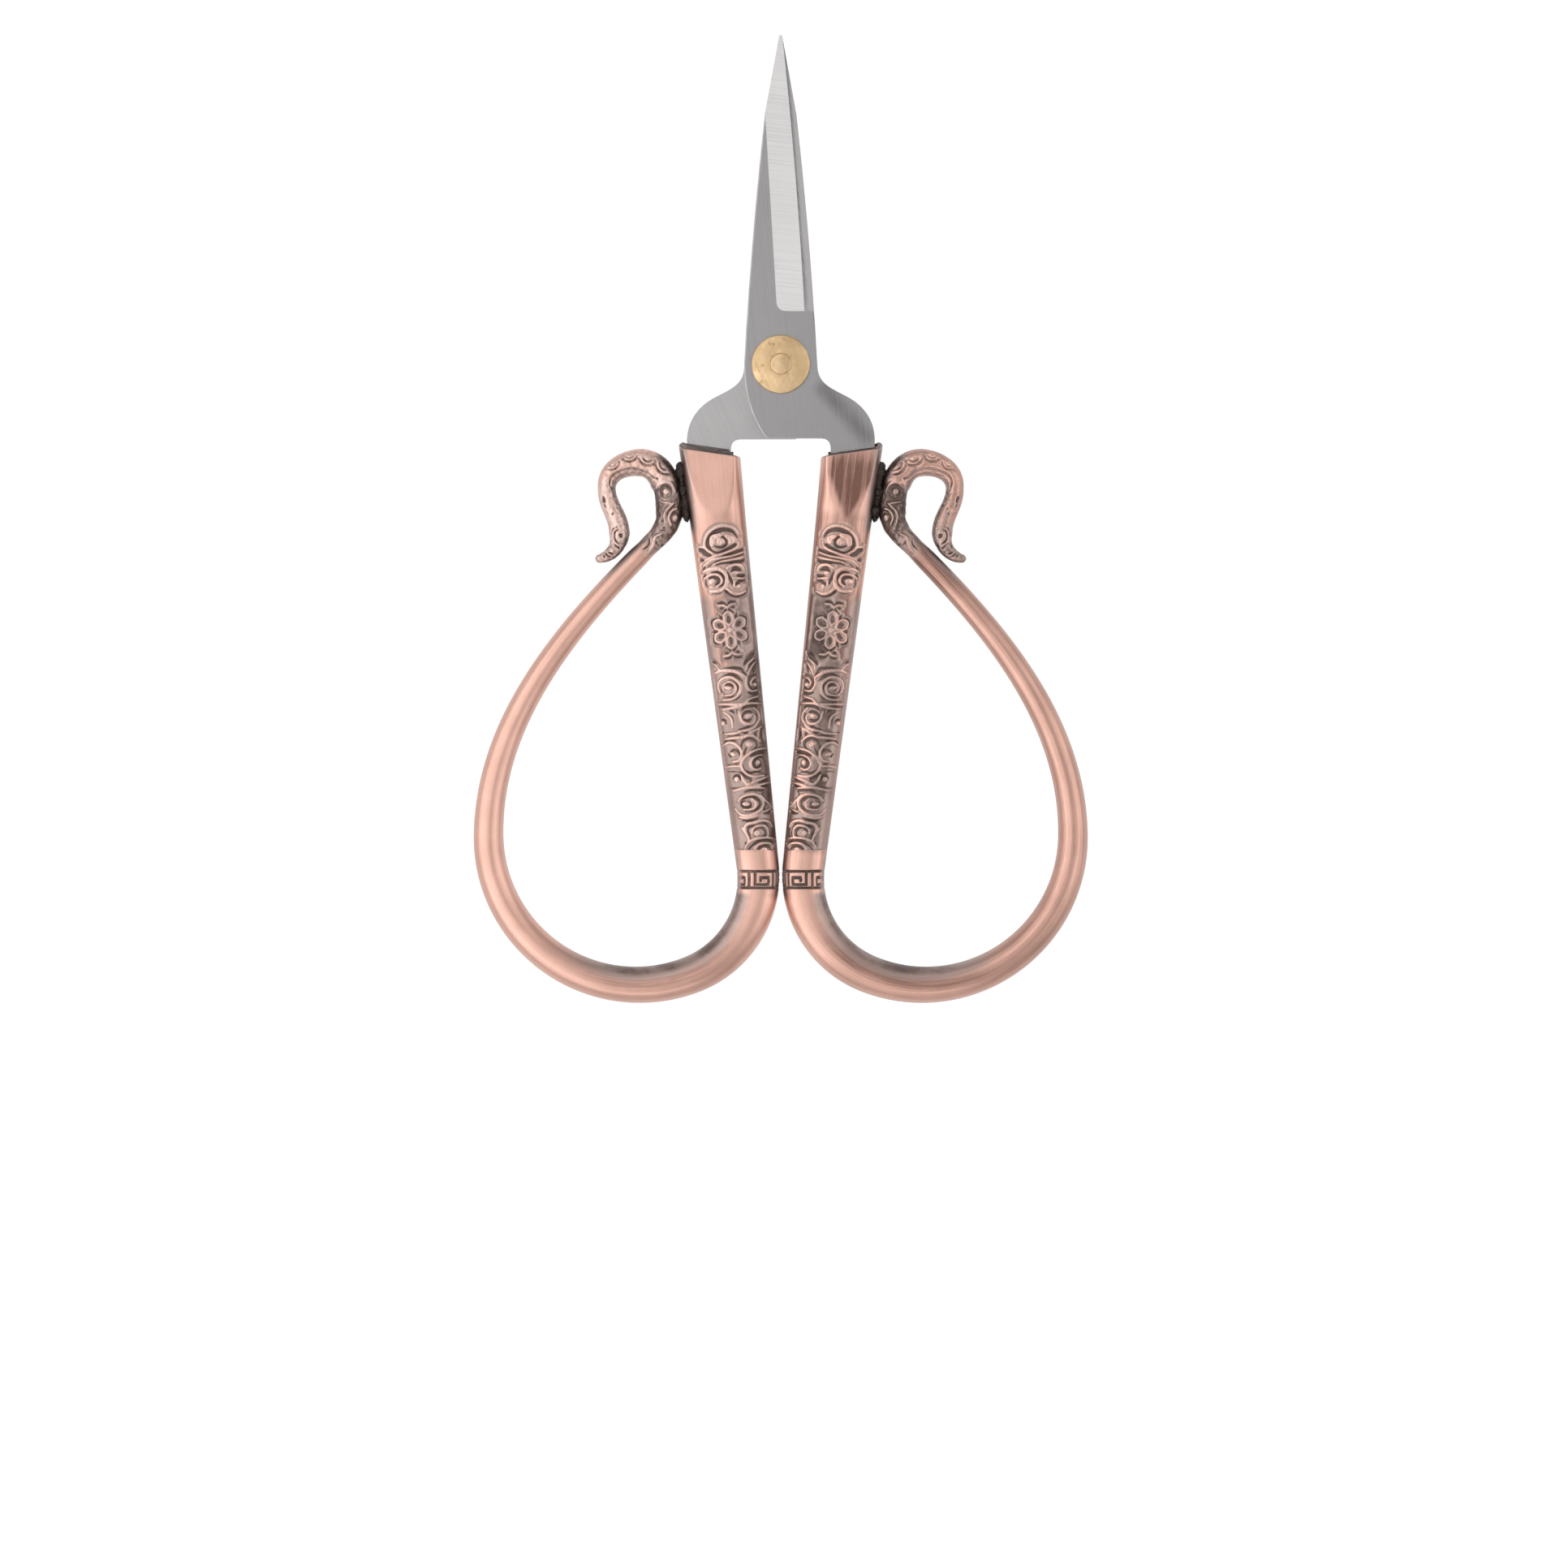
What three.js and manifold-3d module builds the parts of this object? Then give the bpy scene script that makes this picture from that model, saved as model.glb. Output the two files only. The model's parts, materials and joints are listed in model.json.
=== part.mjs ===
// Embroidery scissors with cast scroll handles, lying closed on a table.
// Millimetres. +Y runs to the blade tips, +X to the right, +Z up through the front face.
// One half is modelled once, in a frame whose origin is the pivot; the other half is the
// same casting and blade turned half a turn about the long axis, as in any pair of scissors.
import * as THREE from "three";
import { mergeVertices } from "three/addons/utils/BufferGeometryUtils.js";
import Module from "manifold-3d";

const wasm = await Module();
wasm.setup();

// Fits
const SEAT_GAP = 0.05; // between flat faces that bear on each other
const BOND_GAP = 0.1; // round the cement and the solder
const SHEAR_GAP = 0.1; // between the inner faces of the two blades
const RIVET_CLEARANCE = 0.06; // round the pin, in blades and washers
const CLOSED_GAP = 0.3; // between the two bars when the scissors are shut
const CURL_GAP = 0.45; // between the curl and the side of its own bar

// Blades
const BLADE_THICKNESS = 1.4;
const TIP_REACH = 44.2; // pivot to point
const TIP_WIDTH = 0.4;
const KINK_REACH = 33.7; // where the long spine turns in towards the point
const KINK_OFFSET = 2.1;
const RICASSO_HALF_WIDTH = 4.9;
const SPINE_BELLY = 0.25; // bow of the spine between the ricasso and the kink
const SPINE_CHAMFER = 0.3;
const HEEL_FULLNESS = 0.6; // how low the round behind the pivot bulges, as a share of the bridge drop
const HEEL_REACH = 7.1; // pivot to the start of the cutting edge
const EDGE_SETBACK = 1.7; // cutting edge behind the full half width of the ricasso
const EDGE_BELLY = 0.25; // bow of the cutting edge
const EDGE_THICKNESS = 0.15;
const GRIND_WIDTH = 3.7; // ground face, measured across at the heel
const GRIND_CORNER = 1.3; // corner left by the grinding wheel
const BRIDGE_DROP = 9.85; // pivot to the lower side of the shank
const BRIDGE_START = 2; // where that lower side starts, beyond the pivot
const CROTCH_ROUND = 1.3; // inside corner between the shank and the tang
const CREST_OUT = 8.9; // where the round of the shank turns into the hollow of the neck
const CREST_DROP = 4.35;
const CREST_SLOPE = 28; // degrees below level
const CREST_PULL = 2.6; // stiffness of both curves at the crest
const SHANK_PULL = 3.4; // stiffness of the round where it leaves the socket
const NECK_HOLLOW = 2.6; // stiffness of the hollow where it meets the ricasso
const TANG_WIDTH = 5.9;
const TANG_END_WIDTH = 3.2;
const TANG_LENGTH = 9.5;

// Pivot
const RIVET_RADIUS = 1.25;
const RIVET_HEAD_RADIUS = 1.42;
const RIVET_HEAD_RISE = 0.3;
const RIVET_HEAD_EDGE = 0.1; // upright rim of the peened head
const RIVET_HEAD_LAND = 0.6; // flat in the middle of the peened head
const WASHER_RADIUS = 3.9;
const WASHER_RIM = 0.35;
const WASHER_CROWN = 0.65;

// Handle: the bar
const MOUTH_OFFSET = 9.6; // centre of the socket mouth, sideways from the pivot
const MOUTH_DROP = 10.8; // centre of the socket mouth, below the pivot
const MOUTH_SLANT = 14.6; // degrees, the mouth falls towards the other handle
const MOUTH_WIDTH = 8.1;
const MOUTH_DEPTH = 8; // thickness of the flare before it is flattened
const COLLAR_THICKNESS = 5; // across the two flats
const COLLAR_LENGTH = 10;
const COLLAR_WIDTH = 7.5; // at the lower end of the flats
const LIP_SETBACK = 1; // how far the flat lips lie behind the middle of the mouth
const CEMENT_WALL = 0.25;
const CEMENT_RECESS = 0.4; // cement below the mouth

// Handle: the bow, each width and depth at the end of its run
const GRIP_DEPTH = 4.8;
const HEEL_DROP = 68.7; // where the two handles meet, below the pivot
const HEEL_RADIUS = 14;
const HEEL_WIDTH = 5.7;
const BOWL_LEAN = 21.5; // degrees short of the lowest point where the heel's round opens into the bowl's
const BOWL_START_WIDTH = 5.1;
const BOWL_START_DEPTH = 5;
const BOWL_REACH = 41.2; // middle of the scissors to the outside of the bow
const BOWL_END_WIDTH = 4;
const BOWL_PULL = 14.5; // stiffness of the long side where it leaves the bowl
const NECK_PULL = 17; // stiffness of the long side where it enters the neck
const NECK_SLANT = 45; // degrees from the long axis
const SQUARENESS = 2.5; // power of the bar's rounded section; 2 is an ellipse

// Handle: the curl, placed from its shoulder beside the bar; out is away from the bar
const SHOULDER_DROP = 8; // mouth to shoulder, along the bar
const NECK = { out: 3.05, up: -5.1, width: 2.8, depth: 2.8 };
const SHOULDER = { out: 0, up: 0, width: 4.1, depth: 3.7 };
const CROWN = { out: 4, up: 6.4, width: 3.7, depth: 3.5 };
const FLANK = { out: 8.4, up: 3, width: 2.4, depth: 3 };
const HOCK = { out: 6.7, up: -3.2, width: 2.8, depth: 2.8 };
const TAIL_TIP = { out: 9.9, up: -6.5, width: 0.6, depth: 0.8 };
const ROUND_PULL = 0.4; // share of the distance between two points that bends a turn
const SOLDER_DROP = 6.2; // mouth to the middle of the bead, along the bar
const SOLDER_LENGTH = 7;
const SOLDER_DEPTH = 2.2;
const SOLDER_BITE = 1; // how far the bead climbs round each rod

// Fineness
const SECTION_SIDES = 20;
const CURVE_STEPS = 12;
const ROUND_STEPS = 40;
const DOME_STEPS = 5;
const CUT_MARGIN = 1; // how far cutting tools run past what they cut

const MOUTH = { width: MOUTH_WIDTH, depth: MOUTH_DEPTH, power: SQUARENESS };

const MATERIALS = {
  steel: new THREE.MeshStandardMaterial({ color: 0xa9a8a9, roughness: 0.35, metalness: 1 }),
  brass: new THREE.MeshStandardMaterial({ color: 0xcaa45c, roughness: 0.35, metalness: 1 }),
  copper: new THREE.MeshStandardMaterial({ color: 0xb9806c, roughness: 0.4, metalness: 1 }),
  solder: new THREE.MeshStandardMaterial({ color: 0x54423b, roughness: 0.6, metalness: 1 }),
  cement: new THREE.MeshStandardMaterial({ color: 0x2b2522, roughness: 0.8, metalness: 0 }),
};

// Solids and meshes

function toSolid(geometry) {
  const bare = geometry.index ? geometry.toNonIndexed() : geometry.clone();
  bare.deleteAttribute("normal");
  bare.deleteAttribute("uv");
  const merged = mergeVertices(bare, 1e-5);
  return new wasm.Manifold(
    new wasm.Mesh({
      numProp: 3,
      vertProperties: merged.attributes.position.array,
      triVerts: new Uint32Array(merged.index.array),
    }),
  );
}

function toGeometry(solid) {
  const { vertProperties, triVerts } = solid.getMesh();
  const geometry = new THREE.BufferGeometry();
  geometry.setAttribute("position", new THREE.BufferAttribute(vertProperties, 3));
  geometry.setIndex(new THREE.BufferAttribute(triVerts, 1));
  geometry.computeVertexNormals();
  return geometry;
}

function part(name, geometry, material) {
  const mesh = new THREE.Mesh(geometry, material);
  mesh.name = name;
  return mesh;
}

function plate(shape, bottom, thickness) {
  const settings = { depth: thickness, bevelEnabled: false, curveSegments: CURVE_STEPS };
  return new THREE.ExtrudeGeometry(shape, settings).translate(0, 0, bottom);
}

// A closed skin through rings that all have the same number of points, capped at both ends.
function loft(rings) {
  const sides = rings[0].length;
  const middles = [rings[0], rings.at(-1)].map((ring) =>
    ring.reduce((sum, p) => sum.add(p), new THREE.Vector3()).divideScalar(sides),
  );
  const points = [...rings.flat(), ...middles];
  const first = points.length - 2;
  const faces = [];
  for (let side = 0; side < sides; side++) {
    const next = (side + 1) % sides;
    for (let ring = 0; ring < rings.length - 1; ring++) {
      const low = ring * sides;
      const high = low + sides;
      faces.push(low + side, low + next, high + next, low + side, high + next, high + side);
    }
    const end = (rings.length - 1) * sides;
    faces.push(first, next, side, first + 1, end + side, end + next);
  }
  return new THREE.BufferGeometry().setFromPoints(points).setIndex(faces);
}

// One ring across a flat centre line: a rounded section, grown all round by a clearance.
function sectionRing(point, tangent, section, sides, grow) {
  const rounded = (value) => Math.sign(value) * Math.abs(value) ** (2 / section.power);
  const ring = [];
  for (let i = 0; i < sides; i++) {
    const angle = (2 * Math.PI * i) / sides;
    const across = (section.width / 2 + grow) * rounded(Math.cos(angle));
    const height = (section.depth / 2 + grow) * rounded(Math.sin(angle));
    ring.push(new THREE.Vector3(point.x - tangent.y * across, point.y + tangent.x * across, height));
  }
  return ring;
}

// The bar's straight axis: from the socket mouth it runs tangent to the heel's round.

const heelCentre = new THREE.Vector2(CLOSED_GAP / 2 + HEEL_WIDTH / 2 + HEEL_RADIUS, -HEEL_DROP);
const mouth = new THREE.Vector2(MOUTH_OFFSET, -MOUTH_DROP);
const toHeel = heelCentre.clone().sub(mouth);
const barAngle = toHeel.angle() - Math.asin(HEEL_RADIUS / toHeel.length());
const along = new THREE.Vector2(Math.cos(barAngle), Math.sin(barAngle)); // down the bar
const outward = new THREE.Vector2(-along.y, along.x); // away from the other handle
const barLength = Math.sqrt(toHeel.lengthSq() - HEEL_RADIUS ** 2);

function onBar(distance, offset) {
  return mouth.clone().addScaledVector(along, distance).addScaledVector(outward, offset);
}

// A tool lying along the bar: x is outward, y points back up the bar, z is unchanged.
function besideBar(geometry, distance, offset, height) {
  const origin = onBar(distance, offset);
  const turn = Math.atan2(outward.y, outward.x);
  return geometry.rotateZ(turn).translate(origin.x, origin.y, height);
}

// Blade

const bladeBottom = SHEAR_GAP / 2;
const bladeTop = bladeBottom + BLADE_THICKNESS;
const edgeHeel = new THREE.Vector2(RICASSO_HALF_WIDTH - EDGE_SETBACK, HEEL_REACH);
const edgeTip = new THREE.Vector2(TIP_WIDTH / 2, TIP_REACH);
const kink = new THREE.Vector2(-KINK_OFFSET, KINK_REACH);
const spineFoot = new THREE.Vector2(-RICASSO_HALF_WIDTH, 0);
const bridgeStart = new THREE.Vector2(-BRIDGE_START, -BRIDGE_DROP);

function towards(from, to, distance) {
  return from.clone().addScaledVector(to.clone().sub(from).normalize(), distance);
}

// A shallow bow between two points, bulging sideways by the belly in the middle.
function bowed(from, to, belly) {
  const control = from.clone().lerp(to, 0.5);
  control.x += 2 * belly;
  return new THREE.QuadraticBezierCurve(from, control, to);
}

// The back of the blade, from the kink down the spine and round the heel.
const spine = bowed(kink, spineFoot, -SPINE_BELLY);
const heelCorner = new THREE.Vector2(-RICASSO_HALF_WIDTH, -BRIDGE_DROP * HEEL_FULLNESS);
const heelRound = new THREE.QuadraticBezierCurve(spineFoot, heelCorner, bridgeStart);

// The blank: spine on the left, cutting edge on the right, shank and tang to the right.
function bladeOutline() {
  const tangInner = onBar(0, -TANG_WIDTH / 2);
  const tangInnerEnd = onBar(TANG_LENGTH, -TANG_END_WIDTH / 2);
  const tangOuter = onBar(0, TANG_WIDTH / 2);
  const rise = (-BRIDGE_DROP - tangInner.y) / (tangInnerEnd.y - tangInner.y);
  const crotch = tangInner.clone().lerp(tangInnerEnd, rise);
  const crotchEnd = towards(crotch, tangInnerEnd, CROTCH_ROUND);
  const crest = new THREE.Vector2(CREST_OUT, -CREST_DROP);
  const slope = THREE.MathUtils.degToRad(CREST_SLOPE);
  const downhill = new THREE.Vector2(Math.cos(slope), -Math.sin(slope));
  const shankPull = tangOuter.clone().addScaledVector(along, -SHANK_PULL);
  const crestRound = crest.clone().addScaledVector(downhill, CREST_PULL);
  const crestHollow = crest.clone().addScaledVector(downhill, -CREST_PULL);
  const ricassoSide = RICASSO_HALF_WIDTH + (KINK_OFFSET - RICASSO_HALF_WIDTH) * (HEEL_REACH / KINK_REACH);

  const outline = new THREE.Shape();
  outline.moveTo(edgeTip.x, edgeTip.y);
  outline.lineTo(-edgeTip.x, edgeTip.y);
  outline.lineTo(kink.x, kink.y);
  for (const curve of [spine, heelRound]) {
    outline.quadraticCurveTo(curve.v1.x, curve.v1.y, curve.v2.x, curve.v2.y);
  }
  outline.lineTo(crotch.x - CROTCH_ROUND, crotch.y);
  outline.quadraticCurveTo(crotch.x, crotch.y, crotchEnd.x, crotchEnd.y);
  for (const [distance, width] of [
    [TANG_LENGTH, -TANG_END_WIDTH],
    [TANG_LENGTH, TANG_END_WIDTH],
    [0, TANG_WIDTH],
  ]) {
    const corner = onBar(distance, width / 2);
    outline.lineTo(corner.x, corner.y);
  }
  outline.bezierCurveTo(shankPull.x, shankPull.y, crestRound.x, crestRound.y, crest.x, crest.y);
  outline.bezierCurveTo(
    crestHollow.x,
    crestHollow.y,
    RICASSO_HALF_WIDTH,
    -NECK_HOLLOW,
    RICASSO_HALF_WIDTH,
    0,
  );
  outline.lineTo(ricassoSide, HEEL_REACH);
  outline.lineTo(edgeHeel.x, edgeHeel.y);
  const edge = bowed(edgeHeel, edgeTip, EDGE_BELLY);
  outline.quadraticCurveTo(edge.v1.x, edge.v1.y, edgeTip.x, edgeTip.y);

  const hole = new THREE.Path();
  hole.absarc(0, 0, RIVET_RADIUS + RIVET_CLEARANCE, 0, 2 * Math.PI);
  outline.holes.push(hole);
  return outline;
}

// The wheel's path: everything above a slanting plane that falls from the grind line to the edge.
function grindCutter() {
  const heelInner = new THREE.Vector2(edgeHeel.x - GRIND_WIDTH, HEEL_REACH);
  const beyondTip = towards(heelInner, kink, TIP_REACH);
  const cornerStart = towards(heelInner, kink, GRIND_CORNER);
  const right = RICASSO_HALF_WIDTH + CUT_MARGIN;
  const path = new THREE.Shape();
  path.moveTo(right, HEEL_REACH);
  path.lineTo(right, beyondTip.y);
  path.lineTo(beyondTip.x, beyondTip.y);
  path.lineTo(cornerStart.x, cornerStart.y);
  path.quadraticCurveTo(heelInner.x, heelInner.y, heelInner.x + GRIND_CORNER, HEEL_REACH);
  const face = new THREE.Plane().setFromCoplanarPoints(
    new THREE.Vector3(edgeHeel.x, edgeHeel.y, bladeBottom + EDGE_THICKNESS),
    new THREE.Vector3(kink.x, kink.y, bladeTop),
    new THREE.Vector3(heelInner.x, heelInner.y, bladeTop),
  );
  const cutter = plate(path, bladeBottom, BLADE_THICKNESS + CUT_MARGIN);
  const position = cutter.getAttribute("position");
  for (let i = 0; i < position.count; i++) {
    if (position.getZ(i) > bladeTop) continue;
    const across = face.normal.x * position.getX(i) + face.normal.y * position.getY(i);
    position.setZ(i, -(face.constant + across) / face.normal.z);
  }
  return cutter;
}

// A square bar laid on edge along the back of the blade, at its outer face.
function chamferCutter() {
  const rings = [];
  for (const curve of [spine, heelRound]) {
    for (let step = rings.length ? 1 : 0; step <= CURVE_STEPS; step++) {
      const share = step / CURVE_STEPS;
      const section = { width: 2 * SPINE_CHAMFER, depth: 2 * SPINE_CHAMFER, power: 2 };
      rings.push(sectionRing(curve.getPoint(share), curve.getTangent(share), section, 4, 0));
    }
  }
  return loft(rings).translate(0, 0, bladeTop);
}

function blade() {
  const solid = toSolid(plate(bladeOutline(), bladeBottom, BLADE_THICKNESS))
    .subtract(toSolid(grindCutter()))
    .subtract(toSolid(chamferCutter()));
  return toGeometry(solid);
}

// Handle

// The rod's centre line as runs; each run ends at the named section.
function rodRuns() {
  const collarStart = onBar(-MOUTH_WIDTH / 2, 0);
  const collarEnd = onBar(COLLAR_LENGTH, 0);
  const heelStart = onBar(barLength, 0);
  const heelFrom = heelStart.clone().sub(heelCentre).angle();
  const lean = THREE.MathUtils.degToRad(BOWL_LEAN);
  const opening = new THREE.Vector2(-Math.sin(lean), -Math.cos(lean));
  const bowlFrom = opening.angle();
  const sideX = BOWL_REACH - BOWL_END_WIDTH / 2;
  const bowlRadius = (sideX - heelCentre.x - HEEL_RADIUS * opening.x) / (1 - opening.x);
  const bowlCentre = heelCentre.clone().addScaledVector(opening, HEEL_RADIUS - bowlRadius);
  const sideStart = new THREE.Vector2(sideX, bowlCentre.y);
  const slant = THREE.MathUtils.degToRad(NECK_SLANT);
  const neckWay = new THREE.Vector2(-Math.sin(slant), Math.cos(slant));
  const up = new THREE.Vector2(0, 1);
  const down = new THREE.Vector2(0, -1);
  const out = new THREE.Vector2(1, 0);
  const [neck, shoulder, crown, flank, hock, tip] = curlPoints();
  const arc = (centre, radius, from, to) =>
    new THREE.EllipseCurve(centre.x, centre.y, radius, radius, from, to, false, 0);
  const bend = (from, leave, leavePull, to, arrive, arrivePull) =>
    new THREE.CubicBezierCurve(
      from,
      from.clone().addScaledVector(leave, leavePull),
      to.clone().addScaledVector(arrive, -arrivePull),
      to,
    );
  const turn = (from, leave, to, arrive) => {
    const pull = ROUND_PULL * from.distanceTo(to);
    return bend(from, leave, pull, to, arrive, pull);
  };
  const grip = { width: HEEL_WIDTH, depth: GRIP_DEPTH, power: SQUARENESS };
  return [
    { curve: new THREE.LineCurve(collarStart, mouth), steps: 1, end: MOUTH },
    { curve: new THREE.LineCurve(mouth, collarEnd), steps: 7, end: { ...grip, width: COLLAR_WIDTH } },
    { curve: new THREE.LineCurve(collarEnd, heelStart), steps: 8, end: grip },
    {
      curve: arc(heelCentre, HEEL_RADIUS, heelFrom, bowlFrom),
      steps: 8,
      end: { width: BOWL_START_WIDTH, depth: BOWL_START_DEPTH, power: 2 },
    },
    {
      curve: arc(bowlCentre, bowlRadius, bowlFrom, 2 * Math.PI),
      steps: 16,
      end: { width: BOWL_END_WIDTH, depth: BOWL_END_WIDTH, power: 2 },
    },
    { curve: bend(sideStart, up, BOWL_PULL, neck, neckWay, NECK_PULL), steps: 16, end: NECK },
    { curve: turn(neck, neckWay, shoulder, up), steps: 6, end: SHOULDER },
    { curve: turn(shoulder, up, crown, out), steps: 8, end: CROWN },
    { curve: turn(crown, out, flank, down), steps: 8, end: FLANK },
    { curve: turn(flank, down, hock, down), steps: 6, end: HOCK },
    { curve: turn(hock, down, tip, out), steps: 6, end: TAIL_TIP },
  ];
}

function barHalfWidth(distance) {
  return THREE.MathUtils.lerp(MOUTH_WIDTH, COLLAR_WIDTH, distance / COLLAR_LENGTH) / 2;
}

const shoulderOffset = barHalfWidth(SHOULDER_DROP) + CURL_GAP + SHOULDER.width / 2;

function curlPoints() {
  const shoulder = onBar(SHOULDER_DROP, shoulderOffset);
  return [NECK, SHOULDER, CROWN, FLANK, HOCK, TAIL_TIP].map(
    (point) => new THREE.Vector2(shoulder.x + point.out, shoulder.y + point.up),
  );
}

function rod(grow) {
  let from = MOUTH;
  const rings = [];
  for (const { curve, steps, end } of rodRuns()) {
    for (let step = rings.length ? 1 : 0; step <= steps; step++) {
      const share = step / steps;
      const section = {
        width: THREE.MathUtils.lerp(from.width, end.width, share),
        depth: THREE.MathUtils.lerp(from.depth, end.depth, share),
        power: THREE.MathUtils.lerp(from.power ?? 2, end.power ?? 2, share),
      };
      const point = curve.getPoint(share);
      rings.push(sectionRing(point, curve.getTangent(share), section, SECTION_SIDES, grow));
    }
    from = end;
  }
  return loft(rings);
}

// The flats: a slab above and a slab below the flared end of the bar.
function flatCutters() {
  const length = COLLAR_LENGTH + MOUTH_WIDTH;
  const height = MOUTH_DEPTH;
  return [1, -1].map((face) =>
    besideBar(
      new THREE.BoxGeometry(2 * MOUTH_WIDTH, length, height),
      length / 2 - MOUTH_WIDTH,
      0,
      (face * (COLLAR_THICKNESS + height)) / 2,
    ),
  );
}

// The mouth: cut aslant, and each lip slopes back from the middle plane to its flat.
function mouthCutters(recess) {
  const slope = Math.atan2(LIP_SETBACK, COLLAR_THICKNESS / 2);
  const slant = THREE.MathUtils.degToRad(MOUTH_SLANT);
  const size = 2 * MOUTH_WIDTH;
  return [1, -1].map((face) => {
    const block = new THREE.BoxGeometry(size, size, 2 * size)
      .translate(0, size / 2, 0)
      .rotateX(face * slope)
      .rotateZ(slant);
    return besideBar(block, recess, 0, 0);
  });
}

// A tapered tongue along the bar: the tang itself, grown by a clearance on every side.
function tongue(grow, start) {
  const end = TANG_LENGTH + grow;
  const side = (distance) =>
    THREE.MathUtils.lerp(TANG_WIDTH, TANG_END_WIDTH, distance / TANG_LENGTH) / 2 + grow;
  const outline = new THREE.Shape();
  outline.moveTo(-side(start), -start);
  outline.lineTo(-side(end), -end);
  outline.lineTo(side(end), -end);
  outline.lineTo(side(start), -start);
  const geometry = plate(outline, bladeBottom - grow, BLADE_THICKNESS + 2 * grow);
  return toSolid(besideBar(geometry, 0, 0, 0));
}

const socketGrow = CEMENT_WALL + 2 * BOND_GAP;

function trimmed(solid, cutters) {
  return cutters.reduce((rest, cutter) => rest.subtract(toSolid(cutter)), solid);
}

function handle() {
  const solid = trimmed(toSolid(rod(0)), [...flatCutters(), ...mouthCutters(0)]);
  return toGeometry(solid.subtract(tongue(socketGrow, -MOUTH_WIDTH)));
}

// The cement lines the socket from just below the mouth to past the end of the tang.
function cement() {
  const lining = tongue(CEMENT_WALL + BOND_GAP, -MOUTH_WIDTH);
  const filled = trimmed(lining, mouthCutters(CEMENT_RECESS));
  return toGeometry(filled.subtract(tongue(BOND_GAP, -2 * MOUTH_WIDTH)));
}

// A bead in the groove between the curl's shoulder and the bar, hollowed by both rods.
function solder() {
  const inner = barHalfWidth(SOLDER_DROP) - SOLDER_BITE;
  const outer = barHalfWidth(SOLDER_DROP) + CURL_GAP + SOLDER_BITE;
  const block = new THREE.BoxGeometry(outer - inner, SOLDER_LENGTH, SOLDER_DEPTH);
  const bead = toSolid(besideBar(block, SOLDER_DROP, (inner + outer) / 2, 0));
  return toGeometry(bead.subtract(toSolid(rod(BOND_GAP))));
}

// Pivot

const washerSeat = bladeTop + SEAT_GAP;
const headSeat = washerSeat + WASHER_CROWN + SEAT_GAP;

function turned(profile) {
  const points = profile.map(([radius, height]) => new THREE.Vector2(radius, height));
  return new THREE.LatheGeometry(points, ROUND_STEPS).rotateX(Math.PI / 2);
}

// A domed disc with a hole for the pin, its flat side down.
function washer() {
  const bore = RIVET_RADIUS + RIVET_CLEARANCE;
  const dome = [];
  for (let step = 0; step <= DOME_STEPS; step++) {
    const share = step / DOME_STEPS;
    const radius = THREE.MathUtils.lerp(WASHER_RADIUS, bore, share);
    dome.push([radius, THREE.MathUtils.lerp(WASHER_RIM, WASHER_CROWN, 1 - (1 - share) ** 2)]);
  }
  return turned([[bore, 0], [WASHER_RADIUS, 0], ...dome, [bore, 0]]).translate(0, 0, washerSeat);
}

// A plain pin with a low peened head at each end.
function rivet() {
  const front = [
    [RIVET_RADIUS, headSeat],
    [RIVET_HEAD_RADIUS, headSeat],
    [RIVET_HEAD_RADIUS, headSeat + RIVET_HEAD_EDGE],
    [RIVET_HEAD_LAND, headSeat + RIVET_HEAD_RISE],
    [0, headSeat + RIVET_HEAD_RISE],
  ];
  const rear = front.map(([radius, height]) => [radius, -height]).reverse();
  return turned([...rear, ...front]);
}

// Assembly

function half(bladeName, side) {
  const group = new THREE.Group();
  group.add(part(bladeName, blade(), MATERIALS.steel));
  group.add(part(`${side}_handle`, handle(), MATERIALS.copper));
  group.add(part(`${side}_tang_cement`, cement(), MATERIALS.cement));
  group.add(part(`${side}_curl_solder`, solder(), MATERIALS.solder));
  return group;
}

function pivot() {
  const group = new THREE.Group();
  const rearWasher = part("rear_washer", washer(), MATERIALS.brass);
  rearWasher.rotation.y = Math.PI;
  group.add(part("pivot_rivet", rivet(), MATERIALS.brass));
  group.add(part("front_washer", washer(), MATERIALS.brass));
  group.add(rearWasher);
  return group;
}

const frontHalf = half("front_blade", "right");
const rearHalf = half("rear_blade", "left");
rearHalf.rotation.y = Math.PI;

const scissors = new THREE.Group();
scissors.add(frontHalf, rearHalf, pivot());

// Stand the part on the table, with the middle of its outline over the origin.
const box = new THREE.Box3().setFromObject(scissors, true);
const middle = box.getCenter(new THREE.Vector3());
scissors.position.set(-middle.x, -middle.y, -box.min.z);

const assembly = new THREE.Group();
assembly.add(scissors);
export default assembly;
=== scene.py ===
"""Embroidery scissors with cast scroll handles: the visible pieces, their finishes and the studio."""
import json
import math
from collections import namedtuple
from functools import reduce

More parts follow.
